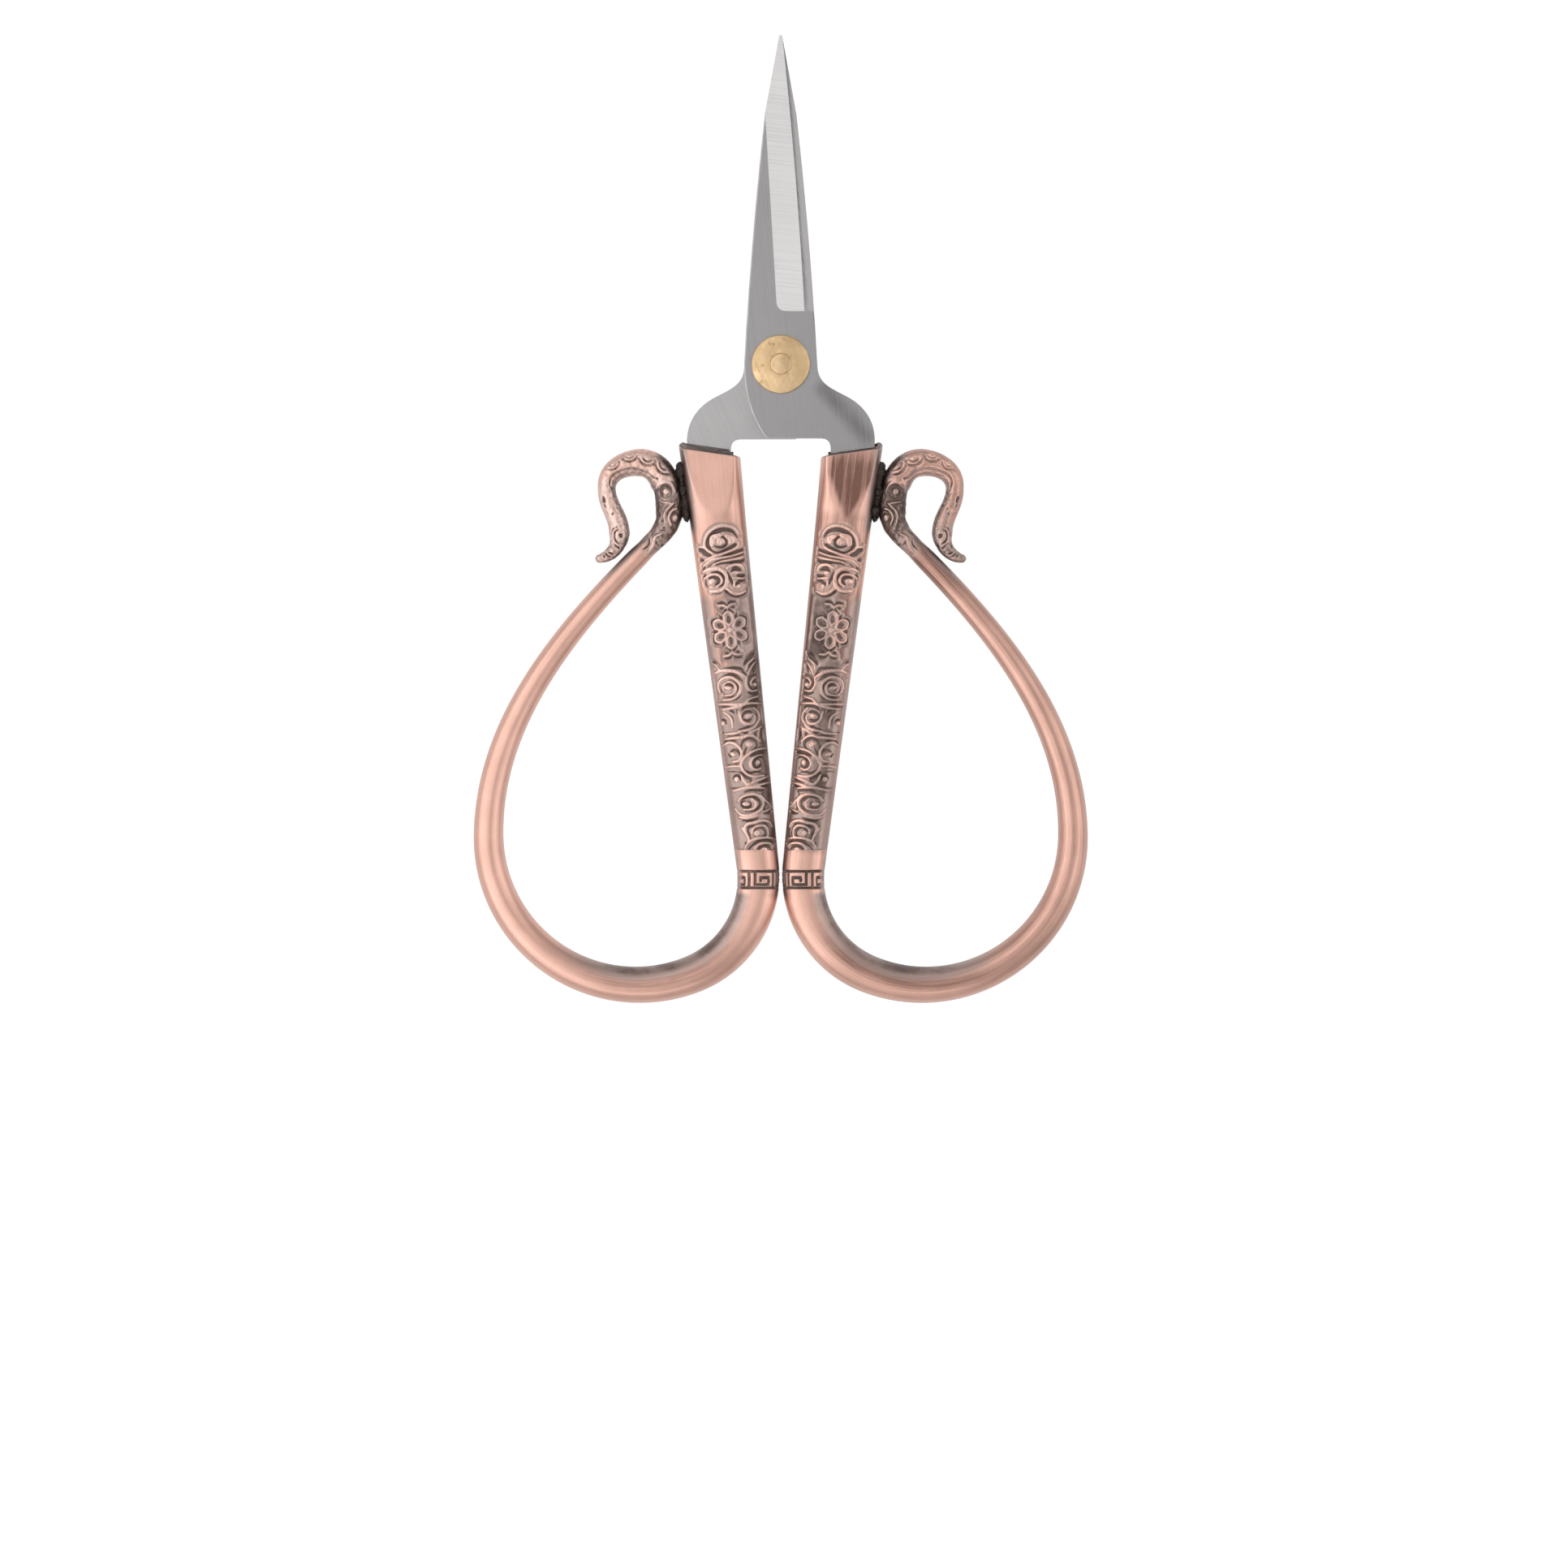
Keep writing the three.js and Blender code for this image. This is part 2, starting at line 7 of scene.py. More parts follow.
import bmesh
import bpy
import numpy as np
from bpy.props import FloatProperty, FloatVectorProperty, PointerProperty
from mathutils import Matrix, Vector


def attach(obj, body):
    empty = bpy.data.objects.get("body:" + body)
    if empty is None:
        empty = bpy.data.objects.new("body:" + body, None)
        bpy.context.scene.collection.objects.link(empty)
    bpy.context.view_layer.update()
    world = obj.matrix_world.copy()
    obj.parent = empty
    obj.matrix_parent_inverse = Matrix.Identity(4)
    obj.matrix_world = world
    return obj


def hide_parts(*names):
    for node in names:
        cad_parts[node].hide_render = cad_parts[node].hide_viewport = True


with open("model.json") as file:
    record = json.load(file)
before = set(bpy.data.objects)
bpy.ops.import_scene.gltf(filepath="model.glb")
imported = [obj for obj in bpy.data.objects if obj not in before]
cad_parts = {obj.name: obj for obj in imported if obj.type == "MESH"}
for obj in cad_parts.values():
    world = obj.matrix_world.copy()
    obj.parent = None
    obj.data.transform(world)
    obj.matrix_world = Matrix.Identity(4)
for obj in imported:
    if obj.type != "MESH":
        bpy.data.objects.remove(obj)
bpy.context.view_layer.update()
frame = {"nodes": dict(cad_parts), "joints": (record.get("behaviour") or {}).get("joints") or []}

bl_info = {
    "name": "Embroidery scissors",
    "version": (1, 0, 0),
    "blender": (4, 5, 0),
    "location": "View3D > Sidebar > Scissors",
    "description": "Builds embroidery scissors with cast copper handles round their packed frame",
    "category": "Add Mesh",
}

# Shapes are worked out in millimetres round the pivot. The right handle and the front blade are the pattern.
MM = 0.001
PIVOT = Vector(frame["joints"][0]["pos_m"])
BAKE_MAP = "OFBake"

# Blades
SHEAR_GAP = 0.1
BLADE_THICKNESS = 1.4
TIP_REACH = 44.2
TIP_WIDTH = 0.4
KINK_REACH = 33.7
KINK_OFFSET = 2.1
RICASSO_HALF_WIDTH = 4.9
SPINE_BELLY = 0.25
HEEL_FULLNESS = 0.6
HEEL_REACH = 7.1
EDGE_SETBACK = 1.7
EDGE_BELLY = 0.25
EDGE_THICKNESS = 0.15
GRIND_WIDTH = 3.7
GRIND_CORNER = 1.3
BRIDGE_DROP = 9.85
BRIDGE_START = 2.0
CROTCH_ROUND = 1.3
CREST = (8.9, -4.35)
CREST_SLOPE = 28
CREST_PULL = 2.6
SHANK_PULL = 3.4
NECK_HOLLOW = 2.6
TANG_WIDTH = 5.9
TANG_END_WIDTH = 3.2
TANG_LENGTH = 9.5

# Pivot
RIVET_RADIUS = 1.25
RIVET_CLEARANCE = 0.06
RIVET_HEAD_RADIUS = 1.42
RIVET_HEAD_RISE = 0.3
RIVET_HEAD_EDGE = 0.2
RIVET_HEAD_CROWN = 0.07
WASHER_RADIUS = 3.9
WASHER_RIM = 0.35
WASHER_CROWN = 0.65
SEAT_GAP = 0.05

# Handle
CLOSED_GAP = 0.3
CURL_GAP = 0.45
MOUTH = np.array((9.6, -10.8))
MOUTH_SLANT = 14.6
MOUTH_WIDTH = 8.1
MOUTH_DEPTH = 8.0
COLLAR_THICKNESS = 5.0
COLLAR_LENGTH = 10.0
COLLAR_WIDTH = 7.5
LIP_SETBACK = 1.0
INNER_CORNER = 1.0
OUTER_CORNER = 0.5
SOCKET_GROW = 0.45
GRIP_DEPTH = 4.8
HEEL_DROP = 68.7
HEEL_RADIUS = 14.0
HEEL_WIDTH = 5.7
BOWL_LEAN = 21.5
BOWL_START_WIDTH = 5.1
BOWL_START_DEPTH = 5.0
BOWL_REACH = 41.2
BOWL_END_WIDTH = 4.0
BOWL_PULL = 14.5
NECK_PULL = 17.0
NECK_SLANT = 45
SQUARENESS = 2.5
SHOULDER_DROP = 8.0
ROUND_PULL = 0.4
CURL = (  # out, up, width and depth at each turn of the curl, seen from its shoulder
    (3.05, -5.1, 2.8, 2.8),
    (0.0, 0.0, 4.1, 3.7),
    (4.0, 6.4, 3.7, 3.5),
    (8.4, 3.0, 2.4, 3.0),
    (6.7, -3.2, 2.8, 2.8),
    (9.9, -6.5, 0.6, 0.8),
)
SOLDER_DROP = 6.2
SOLDER_LENGTH = 7.4
BEAD_SPILL = 0.4
BEAD_LUMPS = 3

blade_bottom = SHEAR_GAP / 2
blade_top = blade_bottom + BLADE_THICKNESS
washer_seat = blade_top + SEAT_GAP
head_seat = washer_seat + WASHER_CROWN + SEAT_GAP


# The bar's straight axis, from the socket mouth to the round of the heel

def heading(angle):
    return np.array((math.cos(angle), math.sin(angle)))


heel_centre = np.array((CLOSED_GAP / 2 + HEEL_WIDTH / 2 + HEEL_RADIUS, -HEEL_DROP))
to_heel = heel_centre - MOUTH
heel_distance = math.hypot(*to_heel)
bar_angle = math.atan2(to_heel[1], to_heel[0]) - math.asin(HEEL_RADIUS / heel_distance)
bar_length = math.sqrt(heel_distance**2 - HEEL_RADIUS**2)
down_bar = heading(bar_angle)
outward = np.array((-down_bar[1], down_bar[0]))


def on_bar(distance, offset):
    return MOUTH + down_bar * distance + outward * offset


# Ornament on the unrolled skin of a grip: distance from the mouth, then offset towards the bow.
# A stroke is its greatest half width, then the places that it runs through.
UPPER_GROOVES = (
    (0.27, (14.4, 0.95), (13.9, 1.5), (13.1, 1.82), (12.1, 1.15), (11.6, 0.1), (11.55, -0.95),
     (11.9, -1.9), (12.65, -2.45)),
    (0.2, (14.3, 1.1), (14.52, 0.3), (14.3, -0.55), (14.02, -1.35), (13.75, -1.95), (13.6, -2.25)),
    (0.16, (13.5, 0.85), (13.75, 0.35), (13.82, -0.3), (13.5, -0.8), (13.0, -0.85), (12.5, -0.5),
     (12.5, 0.1)),
    (0.27, (13.75, 3.5), (13.95, 2.75), (14.5, 2.15), (14.75, 1.5)),
    (0.2, (14.4, -3.3), (14.55, -2.6), (14.78, -1.8), (15.0, -0.5), (15.1, 0.8)),
    (0.11, (15.05, -3.2), (15.25, -2.1), (15.4, -0.85), (15.55, 0.3), (15.78, 1.1), (16.2, 2.1)),
    (0.2, (15.75, -3.4), (16.0, -2.6), (15.97, -1.35), (15.9, -0.2), (16.1, 0.9)),
    (0.13, (15.15, 3.6), (15.2, 3.0), (15.3, 2.5)),
    (0.15, (16.2, 2.5), (16.65, 3.0), (16.9, 3.6)),
    (0.12, (17.2, 2.6), (17.55, 3.0)),
    (0.2, (17.05, 1.6), (17.12, 0.8), (17.6, 0.25), (18.2, 0.03), (18.75, 0.3), (19.05, 0.8)),
    (0.22, (17.75, 2.1), (17.65, 1.4), (18.05, 0.82), (18.5, 0.95), (18.8, 1.3)),
    (0.1, (17.85, 2.6), (18.4, 2.75), (18.9, 2.5)),
    (0.25, (17.3, -1.0), (16.85, -1.65), (17.1, -2.45)),
    (0.2, (17.2, -0.5), (17.8, -0.65), (18.5, -0.95), (18.9, -1.0)),
    (0.2, (17.85, -1.8), (17.95, -2.4), (17.85, -3.0)),
    (0.2, (18.55, -2.9), (18.6, -2.1), (19.05, -1.5), (19.3, -1.45)),
    (0.2, (19.6, 0.2), (19.85, -0.1), (20.35, -0.8), (20.55, -1.6), (20.25, -2.7), (19.8, -3.2)),
    (0.07, (19.85, 1.9), (19.9, 0.9), (19.7, 0.3)),
)
UPPER_RIBS = (
    (0.2, (14.5, 1.2), (13.9, 1.95), (13.1, 2.25), (11.9, 1.6), (11.15, 0.4), (11.0, -0.8),
     (11.4, -2.0), (12.3, -2.75)),
    (0.16, (13.3, -2.6), (13.9, -2.4), (14.3, -1.7), (14.55, -0.8), (14.8, 0.3), (14.95, 1.2), (15.3, 2.4)),
    (0.16, (14.8, -3.0), (15.15, -1.35), (15.25, 0.25), (15.4, 1.5), (16.1, 2.8)),
    (0.15, (15.4, -3.2), (15.6, -2.0), (15.7, -1.0), (15.75, 0.2), (16.0, 1.3)),
    (0.42, (13.3, 1.15), (12.5, 0.95), (12.25, 0.0)),
    (0.4, (12.5, -1.0), (12.9, -1.65), (13.3, -1.5)),
    (0.45, (13.05, 0.05), (13.05, -0.15)),
    (0.18, (17.8, 2.95), (17.35, 1.9), (17.45, 0.8), (18.05, 0.38), (18.65, 0.5), (18.95, 1.15)),
    (0.25, (16.8, 3.0), (16.55, 1.8), (16.7, 0.5), (17.5, -0.25), (18.4, -0.25), (19.2, 0.1),
     (19.6, 0.9), (19.5, 2.2)),
    (0.33, (18.3, 2.1), (18.15, 1.55)),
    (0.2, (16.7, -0.6), (16.35, -1.6), (16.6, -2.6), (17.3, -2.95)),
    (0.22, (19.4, -0.2), (20.05, -0.85), (20.3, -1.8), (20.0, -2.8)),
    (0.15, (18.1, -1.15), (18.2, -2.0), (18.35, -2.8)),
    (0.13, (18.5, -1.2), (19.3, -1.3)),
    (0.24, (17.4, -1.2), (17.45, -1.8)),
    (0.28, (19.2, -1.85), (19.35, -1.75)),
    (0.17, (13.4, 3.6), (13.45, 2.9), (13.6, 2.35)),
)
LOWER_GROOVES = (
    (0.1, (28.7, 3.6), (29.0, 2.85), (29.8, 2.1)),
    (0.19, (29.95, 1.9), (30.0, 0.9), (30.05, 0.0), (30.25, -0.85), (30.85, -1.25), (31.3, -1.55)),
    (0.2, (31.05, 1.9), (30.85, 1.05), (31.0, 0.25), (31.4, -0.4), (31.95, -0.9)),
    (0.07, (31.1, 2.1), (31.5, 2.6), (32.2, 3.0)),
    (0.14, (31.75, 1.6), (31.65, 0.8), (32.15, 0.1), (32.7, -0.15), (33.35, 0.15)),
    (0.18, (32.25, 1.65), (32.1, 1.1), (32.4, 0.65), (32.75, 0.6)),
    (0.08, (32.3, 2.3), (33.0, 2.25), (33.4, 1.7)),
    (0.08, (33.7, 2.4), (33.88, 1.2), (33.75, 0.4)),
    (0.08, (34.3, 2.8), (34.42, 1.2), (34.2, 0.1), (33.7, -0.6)),
    (0.2, (31.25, -3.3), (31.3, -2.4), (31.9, -1.75), (32.6, -1.65), (33.1, -2.1), (33.1, -2.7),
     (32.7, -3.3)),
    (0.13, (32.1, -3.3), (32.02, -2.6), (32.4, -2.2)),
    (0.2, (33.5, -1.4), (33.7, -2.1), (33.75, -3.3)),
    (0.25, (29.8, -1.3), (29.3, -1.7), (28.7, -2.55), (28.3, -3.3)),
    (0.07, (30.2, -2.1), (29.75, -2.4), (29.3, -3.1)),
    (0.25, (30.9, -2.7), (30.3, -2.95), (29.9, -3.5)),
    (0.16, (34.85, -0.9), (34.6, -2.0), (34.8, -3.4)),
    (0.07, (35.0, 3.3), (35.05, 2.0), (35.15, 0.9)),
    (0.25, (35.75, -0.3), (35.35, -0.9), (35.3, -1.7), (35.55, -2.7)),
    (0.15, (35.7, 1.4), (35.8, 0.95), (36.1, 0.75)),
    (0.15, (35.65, 0.45), (35.9, 0.3), (36.15, 0.4)),
    (0.17, (37.1, -0.35), (36.6, -0.3), (36.15, -0.7), (36.05, -1.4), (36.4, -1.95)),
    (0.17, (36.95, -0.35), (37.25, -0.9), (37.15, -1.6)),
    (0.15, (36.3, -2.35), (36.9, -2.35), (37.5, -2.0), (37.95, -1.3), (38.15, -0.5), (38.3, 0.4)),
    (0.13, (36.75, 3.0), (36.85, 2.3), (37.4, 2.1)),
    (0.1, (35.85, 1.9), (36.4, 1.2), (37.0, 1.0), (37.7, 1.05)),
    (0.1, (38.45, 3.2), (38.5, 2.7)),
    (0.07, (39.0, 2.2), (39.05, 0.9), (38.95, 0.1)),
    (0.14, (38.75, 0.1), (38.82, -0.4), (38.75, -0.9)),
    (0.15, (39.0, -1.75), (39.25, -1.95)),
    (0.45, (38.8, -3.2), (39.4, -3.05), (40.1, -3.2)),
    (0.11, (40.05, 3.3), (39.65, 2.55), (39.7, 1.4), (39.85, 0.75)),
    (0.22, (41.0, 0.25), (40.4, 0.3), (39.8, -0.2), (39.6, -0.95), (39.95, -1.6), (40.5, -1.9),
     (41.0, -1.6), (41.2, -1.0)),
    (0.17, (40.8, -0.4), (41.2, -0.15), (41.85, 0.28)),
    (0.18, (41.1, 2.0), (40.92, 1.35), (41.25, 0.78), (41.7, 0.75)),
    (0.13, (41.3, 2.5), (41.65, 2.2), (41.9, 2.0)),
    (0.24, (41.6, -3.6), (41.75, -2.2), (41.8, -1.3), (42.0, -0.75)),
    (0.17, (42.9, 0.42), (43.75, 0.25), (44.2, -0.4), (44.2, -1.2), (44.3, -2.2)),
    (0.2, (42.5, -3.0), (42.25, -2.2), (42.35, -1.6), (42.8, -1.15), (43.35, -1.15), (43.62, -1.6),
     (43.35, -2.2)),
    (0.07, (42.75, 3.2), (42.9, 1.8), (42.75, 0.85)),
    (0.06, (43.75, 3.2), (43.8, 2.0), (43.95, 1.0)),
    (0.18, (44.75, 2.1), (44.4, 1.65), (44.5, 1.1), (45.05, 1.0)),
    (0.25, (44.0, 0.9), (44.55, 0.25), (45.0, -0.4), (45.35, -0.3)),
    (0.11, (45.65, -1.1), (45.5, -2.15), (45.25, -3.4)),
    (0.14, (46.2, -1.7), (46.2, -2.6), (46.1, -3.4)),
    (0.06, (45.9, 3.2), (46.0, 2.2), (45.9, 1.2)),
    (0.18, (46.7, 0.6), (46.55, -0.3), (46.65, -1.3), (46.8, -2.1), (47.3, -1.8)),
    (0.16, (47.2, -1.6), (47.6, -1.85), (48.25, -2.55), (48.7, -3.4)),
    (0.17, (48.0, 1.25), (47.6, 0.8), (47.42, 0.1), (47.55, -0.7), (48.0, -1.22), (48.5, -1.35),
     (49.0, -1.0), (49.3, -0.3), (49.3, 0.8)),
    (0.14, (47.9, 0.2), (48.35, -0.1), (48.75, 0.1), (48.78, 0.8), (48.4, 1.25), (48.0, 1.15),
     (47.85, 0.6)),
    (0.2, (48.8, -1.7), (49.1, -1.9), (49.3, -1.8)),
    (0.24, (49.6, -3.5), (49.75, -2.6), (49.85, -1.7)),
    (0.15, (50.45, 1.4), (50.55, 0.6), (50.55, -0.2), (50.3, -1.0)),
    (0.18, (53.1, 0.5), (52.5, 0.6), (51.8, 0.75), (51.4, 0.45), (51.15, -0.2), (51.02, -1.0),
     (51.15, -1.7), (51.7, -2.25), (52.4, -2.5)),
    (0.18, (52.1, -0.05), (51.68, -0.5), (51.7, -1.2), (52.25, -1.68), (52.75, -1.5), (52.85, -0.8),
     (52.7, -0.1)),
    (0.2, (54.4, 1.0), (53.75, 0.15), (53.4, -0.7), (53.45, -1.75), (53.8, -2.7), (54.2, -3.4)),
    (0.2, (54.6, -0.2), (54.25, -0.7), (54.15, -1.5), (54.4, -2.05), (54.8, -2.35)),
    (0.18, (53.4, 1.3), (53.8, 1.1)),
)
LOWER_RIBS = (
    (0.24, (30.5, 3.0), (30.2, 2.0), (30.3, 0.9), (30.55, -0.05), (30.95, -0.7), (31.45, -1.4)),
    (0.19, (34.15, 2.2), (34.2, 1.0), (33.95, 0.25), (33.35, -0.3), (32.45, -0.45), (31.75, -0.05),
     (31.25, 0.65), (31.2, 1.55), (31.6, 2.35), (32.3, 2.7), (33.1, 2.5)),
    (0.16, (33.6, 1.8), (33.55, 0.8), (33.05, 0.22), (32.4, 0.22), (31.92, 0.65), (31.85, 1.3),
     (32.3, 1.95), (32.9, 1.9)),
    (0.24, (32.5, 1.6), (32.65, 1.2), (32.65, 0.85)),
    (0.17, (29.05, 3.5), (29.4, 2.7), (29.95, 2.25)),
    (0.2, (30.4, -1.6), (29.7, -1.85), (29.0, -2.95)),
    (0.17, (31.2, -1.75), (30.6, -2.0), (29.9, -2.6), (29.5, -3.2)),
    (0.18, (31.6, -1.5), (32.4, -1.35), (33.2, -1.65), (33.42, -2.2), (33.3, -2.9)),
    (0.14, (31.65, -3.2), (31.7, -2.5), (32.2, -2.0), (32.65, -2.05)),
    (0.25, (32.5, -2.4), (32.65, -2.8)),
    (0.18, (34.6, 3.3), (34.8, 1.45), (34.95, 0.25), (35.0, -0.7), (34.45, -1.5), (34.15, -3.0)),
    (0.18, (35.4, 2.4), (35.35, 1.05), (35.2, -0.2), (35.0, -1.2), (35.1, -2.6), (35.25, -3.4)),
    (0.18, (35.9, 0.2), (36.4, 0.05), (37.1, -0.1), (37.55, -0.55), (37.75, -1.35), (37.4, -1.9),
     (36.85, -2.05), (36.4, -1.75)),
    (0.18, (35.65, -2.0), (36.3, -2.6), (37.1, -2.75), (37.7, -2.3), (38.2, -1.75), (38.5, -0.85),
     (38.6, 0.4)),
    (0.3, (36.65, -1.0), (36.6, -1.4)),
    (0.3, (37.3, 2.8), (37.2, 2.5)),
    (0.18, (35.8, 2.3), (36.3, 1.6), (37.0, 1.25), (38.0, 1.3)),
    (0.17, (38.7, 2.5), (38.75, 1.0), (38.65, 0.3)),
    (0.2, (39.4, 2.5), (39.35, 1.05), (39.4, -0.05), (39.25, -0.85), (39.5, -1.65), (40.2, -2.4)),
    (0.17, (38.9, -1.2), (38.6, -2.0), (38.2, -3.0)),
    (0.13, (39.6, -2.2), (39.0, -2.3), (38.6, -2.5)),
    (0.36, (40.35, -0.65), (40.5, -1.05)),
    (0.2, (40.25, 3.1), (39.9, 2.1), (40.15, 1.2), (40.7, 0.65), (41.35, 0.4), (42.05, 0.55),
     (42.45, 1.05), (42.5, 1.8)),
    (0.26, (41.4, 1.85), (41.6, 1.4)),
    (0.2, (41.2, -3.5), (41.2, -2.15), (41.4, -1.2), (41.9, -0.25), (42.45, 0.4), (43.1, 0.65),
     (43.9, 0.4), (44.55, -0.25), (44.8, -1.2), (44.75, -2.4)),
    (0.18, (42.0, -2.4), (42.05, -1.75), (42.35, -1.05), (42.95, -0.65), (43.6, -0.8), (43.92, -1.4),
     (43.75, -2.1)),
    (0.33, (42.85, -1.65), (43.05, -1.75)),
    (0.16, (43.15, 3.2), (43.1, 1.8), (43.2, 0.85)),
    (0.36, (44.8, 1.55), (44.95, 1.5)),
    (0.21, (44.4, 0.8), (45.0, 0.6), (45.65, 0.15), (45.7, -0.3)),
    (0.18, (45.55, -0.6), (45.25, -1.85), (44.95, -3.2)),
    (0.18, (46.05, -0.9), (45.9, -2.15), (45.8, -3.4)),
    (0.18, (46.4, 2.2), (46.2, 1.0), (46.15, 0.0), (46.3, -1.2), (46.5, -2.2)),
    (0.19, (47.8, 1.65), (47.3, 1.05), (47.1, 0.0), (47.2, -0.95), (47.8, -1.6), (48.5, -1.85),
     (49.2, -1.4), (49.7, -0.55), (49.85, 0.6), (49.55, 1.6), (48.8, 2.2)),
    (0.17, (47.7, -0.3), (48.3, -0.75), (48.95, -0.5), (49.1, 0.3), (49.0, 1.0)),
    (0.26, (48.25, 0.95), (48.35, 0.3)),
    (0.18, (47.3, -1.5), (48.2, -2.3), (49.05, -3.2)),
    (0.16, (49.1, -3.4), (49.5, -2.3), (49.6, -1.7)),
    (0.16, (49.95, 1.8), (50.2, 0.7), (50.05, -0.6)),
    (0.22, (52.0, 1.1), (51.4, 1.15), (51.0, 0.7), (50.9, -0.25), (50.75, -1.35), (51.05, -2.4),
     (51.7, -3.0)),
    (0.17, (52.3, 0.25), (51.7, 0.05), (51.42, -0.7), (51.45, -1.55), (51.95, -2.02), (52.6, -2.05),
     (53.0, -1.8)),
    (0.36, (52.2, -0.45), (52.45, -0.45)),
    (0.18, (51.4, 1.6), (52.2, 1.1), (53.2, 0.7)),
    (0.19, (54.1, 1.4), (53.4, 0.8), (53.05, -0.25), (53.05, -1.35), (53.25, -2.55), (53.6, -3.3)),
    (0.17, (54.3, 0.05), (53.85, -0.55), (53.75, -1.35), (53.95, -2.3), (54.4, -2.9)),
    (0.3, (54.6, -1.0), (54.6, -1.4)),
)
LOWER_FIELD_START = 31.0
ROSETTE_PLACE = (24.95, 0.05)
ROSETTE_PETALS = 6
PLAIN_BAND_DROP = 64.95
FRET_DROP = (67.85, 70.05)
FRET_CELLS = 5
ORNAMENT_HALF_SPAN = 3.6

# Ornament on the curl: distance from its neck, then offset towards the outside of its turn
CURL_GROOVES = (
    (0.12, (-0.4, -0.15), (0.3, -0.05), (0.9, -0.4), (1.25, -1.0)),
    (0.14, (1.35, 1.2), (1.45, 0.6), (1.6, 0.2)),
    (0.2, (1.7, 2.0), (1.85, 1.4)),
    (0.16, (2.3, 0.9), (2.6, 0.5), (2.8, 0.3)),
    (0.2, (2.9, 1.8), (3.05, 1.3), (3.1, 0.9)),
    (0.12, (3.45, 0.5), (3.2, 0.0), (3.0, -0.3)),
    (0.1, (3.75, 0.2), (3.5, -0.35)),
    (0.25, (3.8, 2.0), (4.0, 1.3), (4.2, 1.0)),
    (0.15, (4.2, -0.7), (4.6, -0.8)),
    (0.2, (4.75, 1.8), (4.6, 0.85), (5.2, 0.4), (5.75, 0.7), (5.8, 1.5)),
    (0.12, (4.4, 0.2), (5.2, -0.2), (6.0, 0.05), (6.55, 0.7), (7.0, 1.4)),
    (0.22, (7.75, -0.2), (8.0, 0.4), (8.6, 0.65), (9.2, 0.4), (9.45, -0.2), (9.2, -0.8), (8.6, -1.05),
     (8.0, -0.8), (7.75, -0.2)),
    (0.14, (10.75, -0.75), (11.5, -1.3), (12.7, -1.42), (14.2, -1.3), (15.6, -0.92), (17.5, -0.7),
     (19.0, -0.38), (20.3, -0.5), (21.0, -0.9)),
    (0.28, (22.0, 0.7), (22.6, 0.75)),
    (0.13, (22.9, 0.9), (23.2, 0.85)),
    (0.12, (23.8, -0.3), (24.25, -0.05), (24.5, 0.3)),
    (0.1, (26.3, 0.2), (26.65, 0.95), (27.5, 1.3), (28.3, 1.0)),
    (0.12, (26.7, 0.05), (27.0, 0.6), (27.75, 0.72), (28.35, 0.35), (28.6, -0.3)),
    (0.22, (27.5, -0.1), (27.6, -0.5)),
    (0.1, (29.1, -0.7), (28.95, 0.0), (28.8, 0.5)),
    (0.15, (29.5, 0.9), (29.6, 0.8)),
    (0.08, (30.0, -0.5), (30.3, 0.3)),
    (0.08, (30.5, -0.6), (30.7, 0.0), (30.75, 0.5)),
    (0.08, (31.15, 0.3), (31.1, -0.2)),
    (0.13, (5.2, -1.5), (5.9, -1.9), (6.5, -2.4)),
    (0.13, (7.0, -1.6), (7.2, -2.4)),
)
CURL_RIBS = (
    (0.2, (-0.2, 0.7), (0.8, 0.5), (1.8, -0.2), (2.7, 0.15)),
    (0.17, (4.3, 0.7), (4.9, 0.12), (5.5, 0.12), (6.1, 0.55), (6.3, 1.2)),
    (0.17, (4.2, -0.2), (5.2, -0.65), (6.0, -0.4), (6.6, 0.2), (7.0, 0.7)),
    (0.36, (5.2, 1.2), (5.25, 0.95)),
    (0.42, (8.55, -0.2), (8.65, -0.2)),
    (0.18, (8.4, 1.2), (9.3, 0.95), (9.85, 0.3), (9.9, -0.4)),
    (0.17, (7.0, 0.3), (7.2, -0.8), (7.6, -1.4), (8.6, -1.7)),
    (0.18, (26.5, 0.5), (27.1, 0.95), (27.9, 0.98), (28.6, 0.5), (28.8, -0.2)),
    (0.17, (27.1, 0.1), (27.5, 0.3), (28.0, 0.2), (28.2, -0.3)),
    (0.15, (8.6, -1.7), (9.6, -1.5), (10.2, -0.9)),
    (0.28, (24.0, 0.0), (24.1, 0.0)),
)
# Beads along the crown of the curl, each with a ridge between two cut arcs: distance, offset and size
CROWN_BEADS = ((11.7, 1.15, 1.1), (13.6, 0.7, 1.05), (15.7, 1.1, 0.9), (17.8, 0.85, 0.75))
BEAD_ARCS = (0.46, 0.72, 0.98)
BEAD_SWING = 1.45


class ScissorsSizes(bpy.types.PropertyGroup):
    """Small sizes of the surface, which change its look and not the object's dimensions."""

    relief_depth: FloatProperty(
        name="Relief depth", description="How deep the grooves of the ornament are cut",
        default=0.3 * MM, min=0, precision=6, unit="LENGTH")
    rim_round: FloatProperty(
        name="Mouth rim", description="Rounding of the socket's rim",
        default=0.16 * MM, min=0, precision=6, unit="LENGTH")
    spine_chamfer: FloatProperty(
        name="Spine chamfer", description="Width of the chamfer along the back of a blade",
        default=0.17 * MM, min=0, precision=6, unit="LENGTH")
    blade_round: FloatProperty(
        name="Blade edge rounding", description="Rounding of the blade's other corners",
        default=0.08 * MM, min=0, precision=6, unit="LENGTH")
    hammer_depth: FloatProperty(
        name="Hammer marks", description="Depth of the marks in the washers and rivet heads",
        default=0.016 * MM, min=0, precision=6, unit="LENGTH")


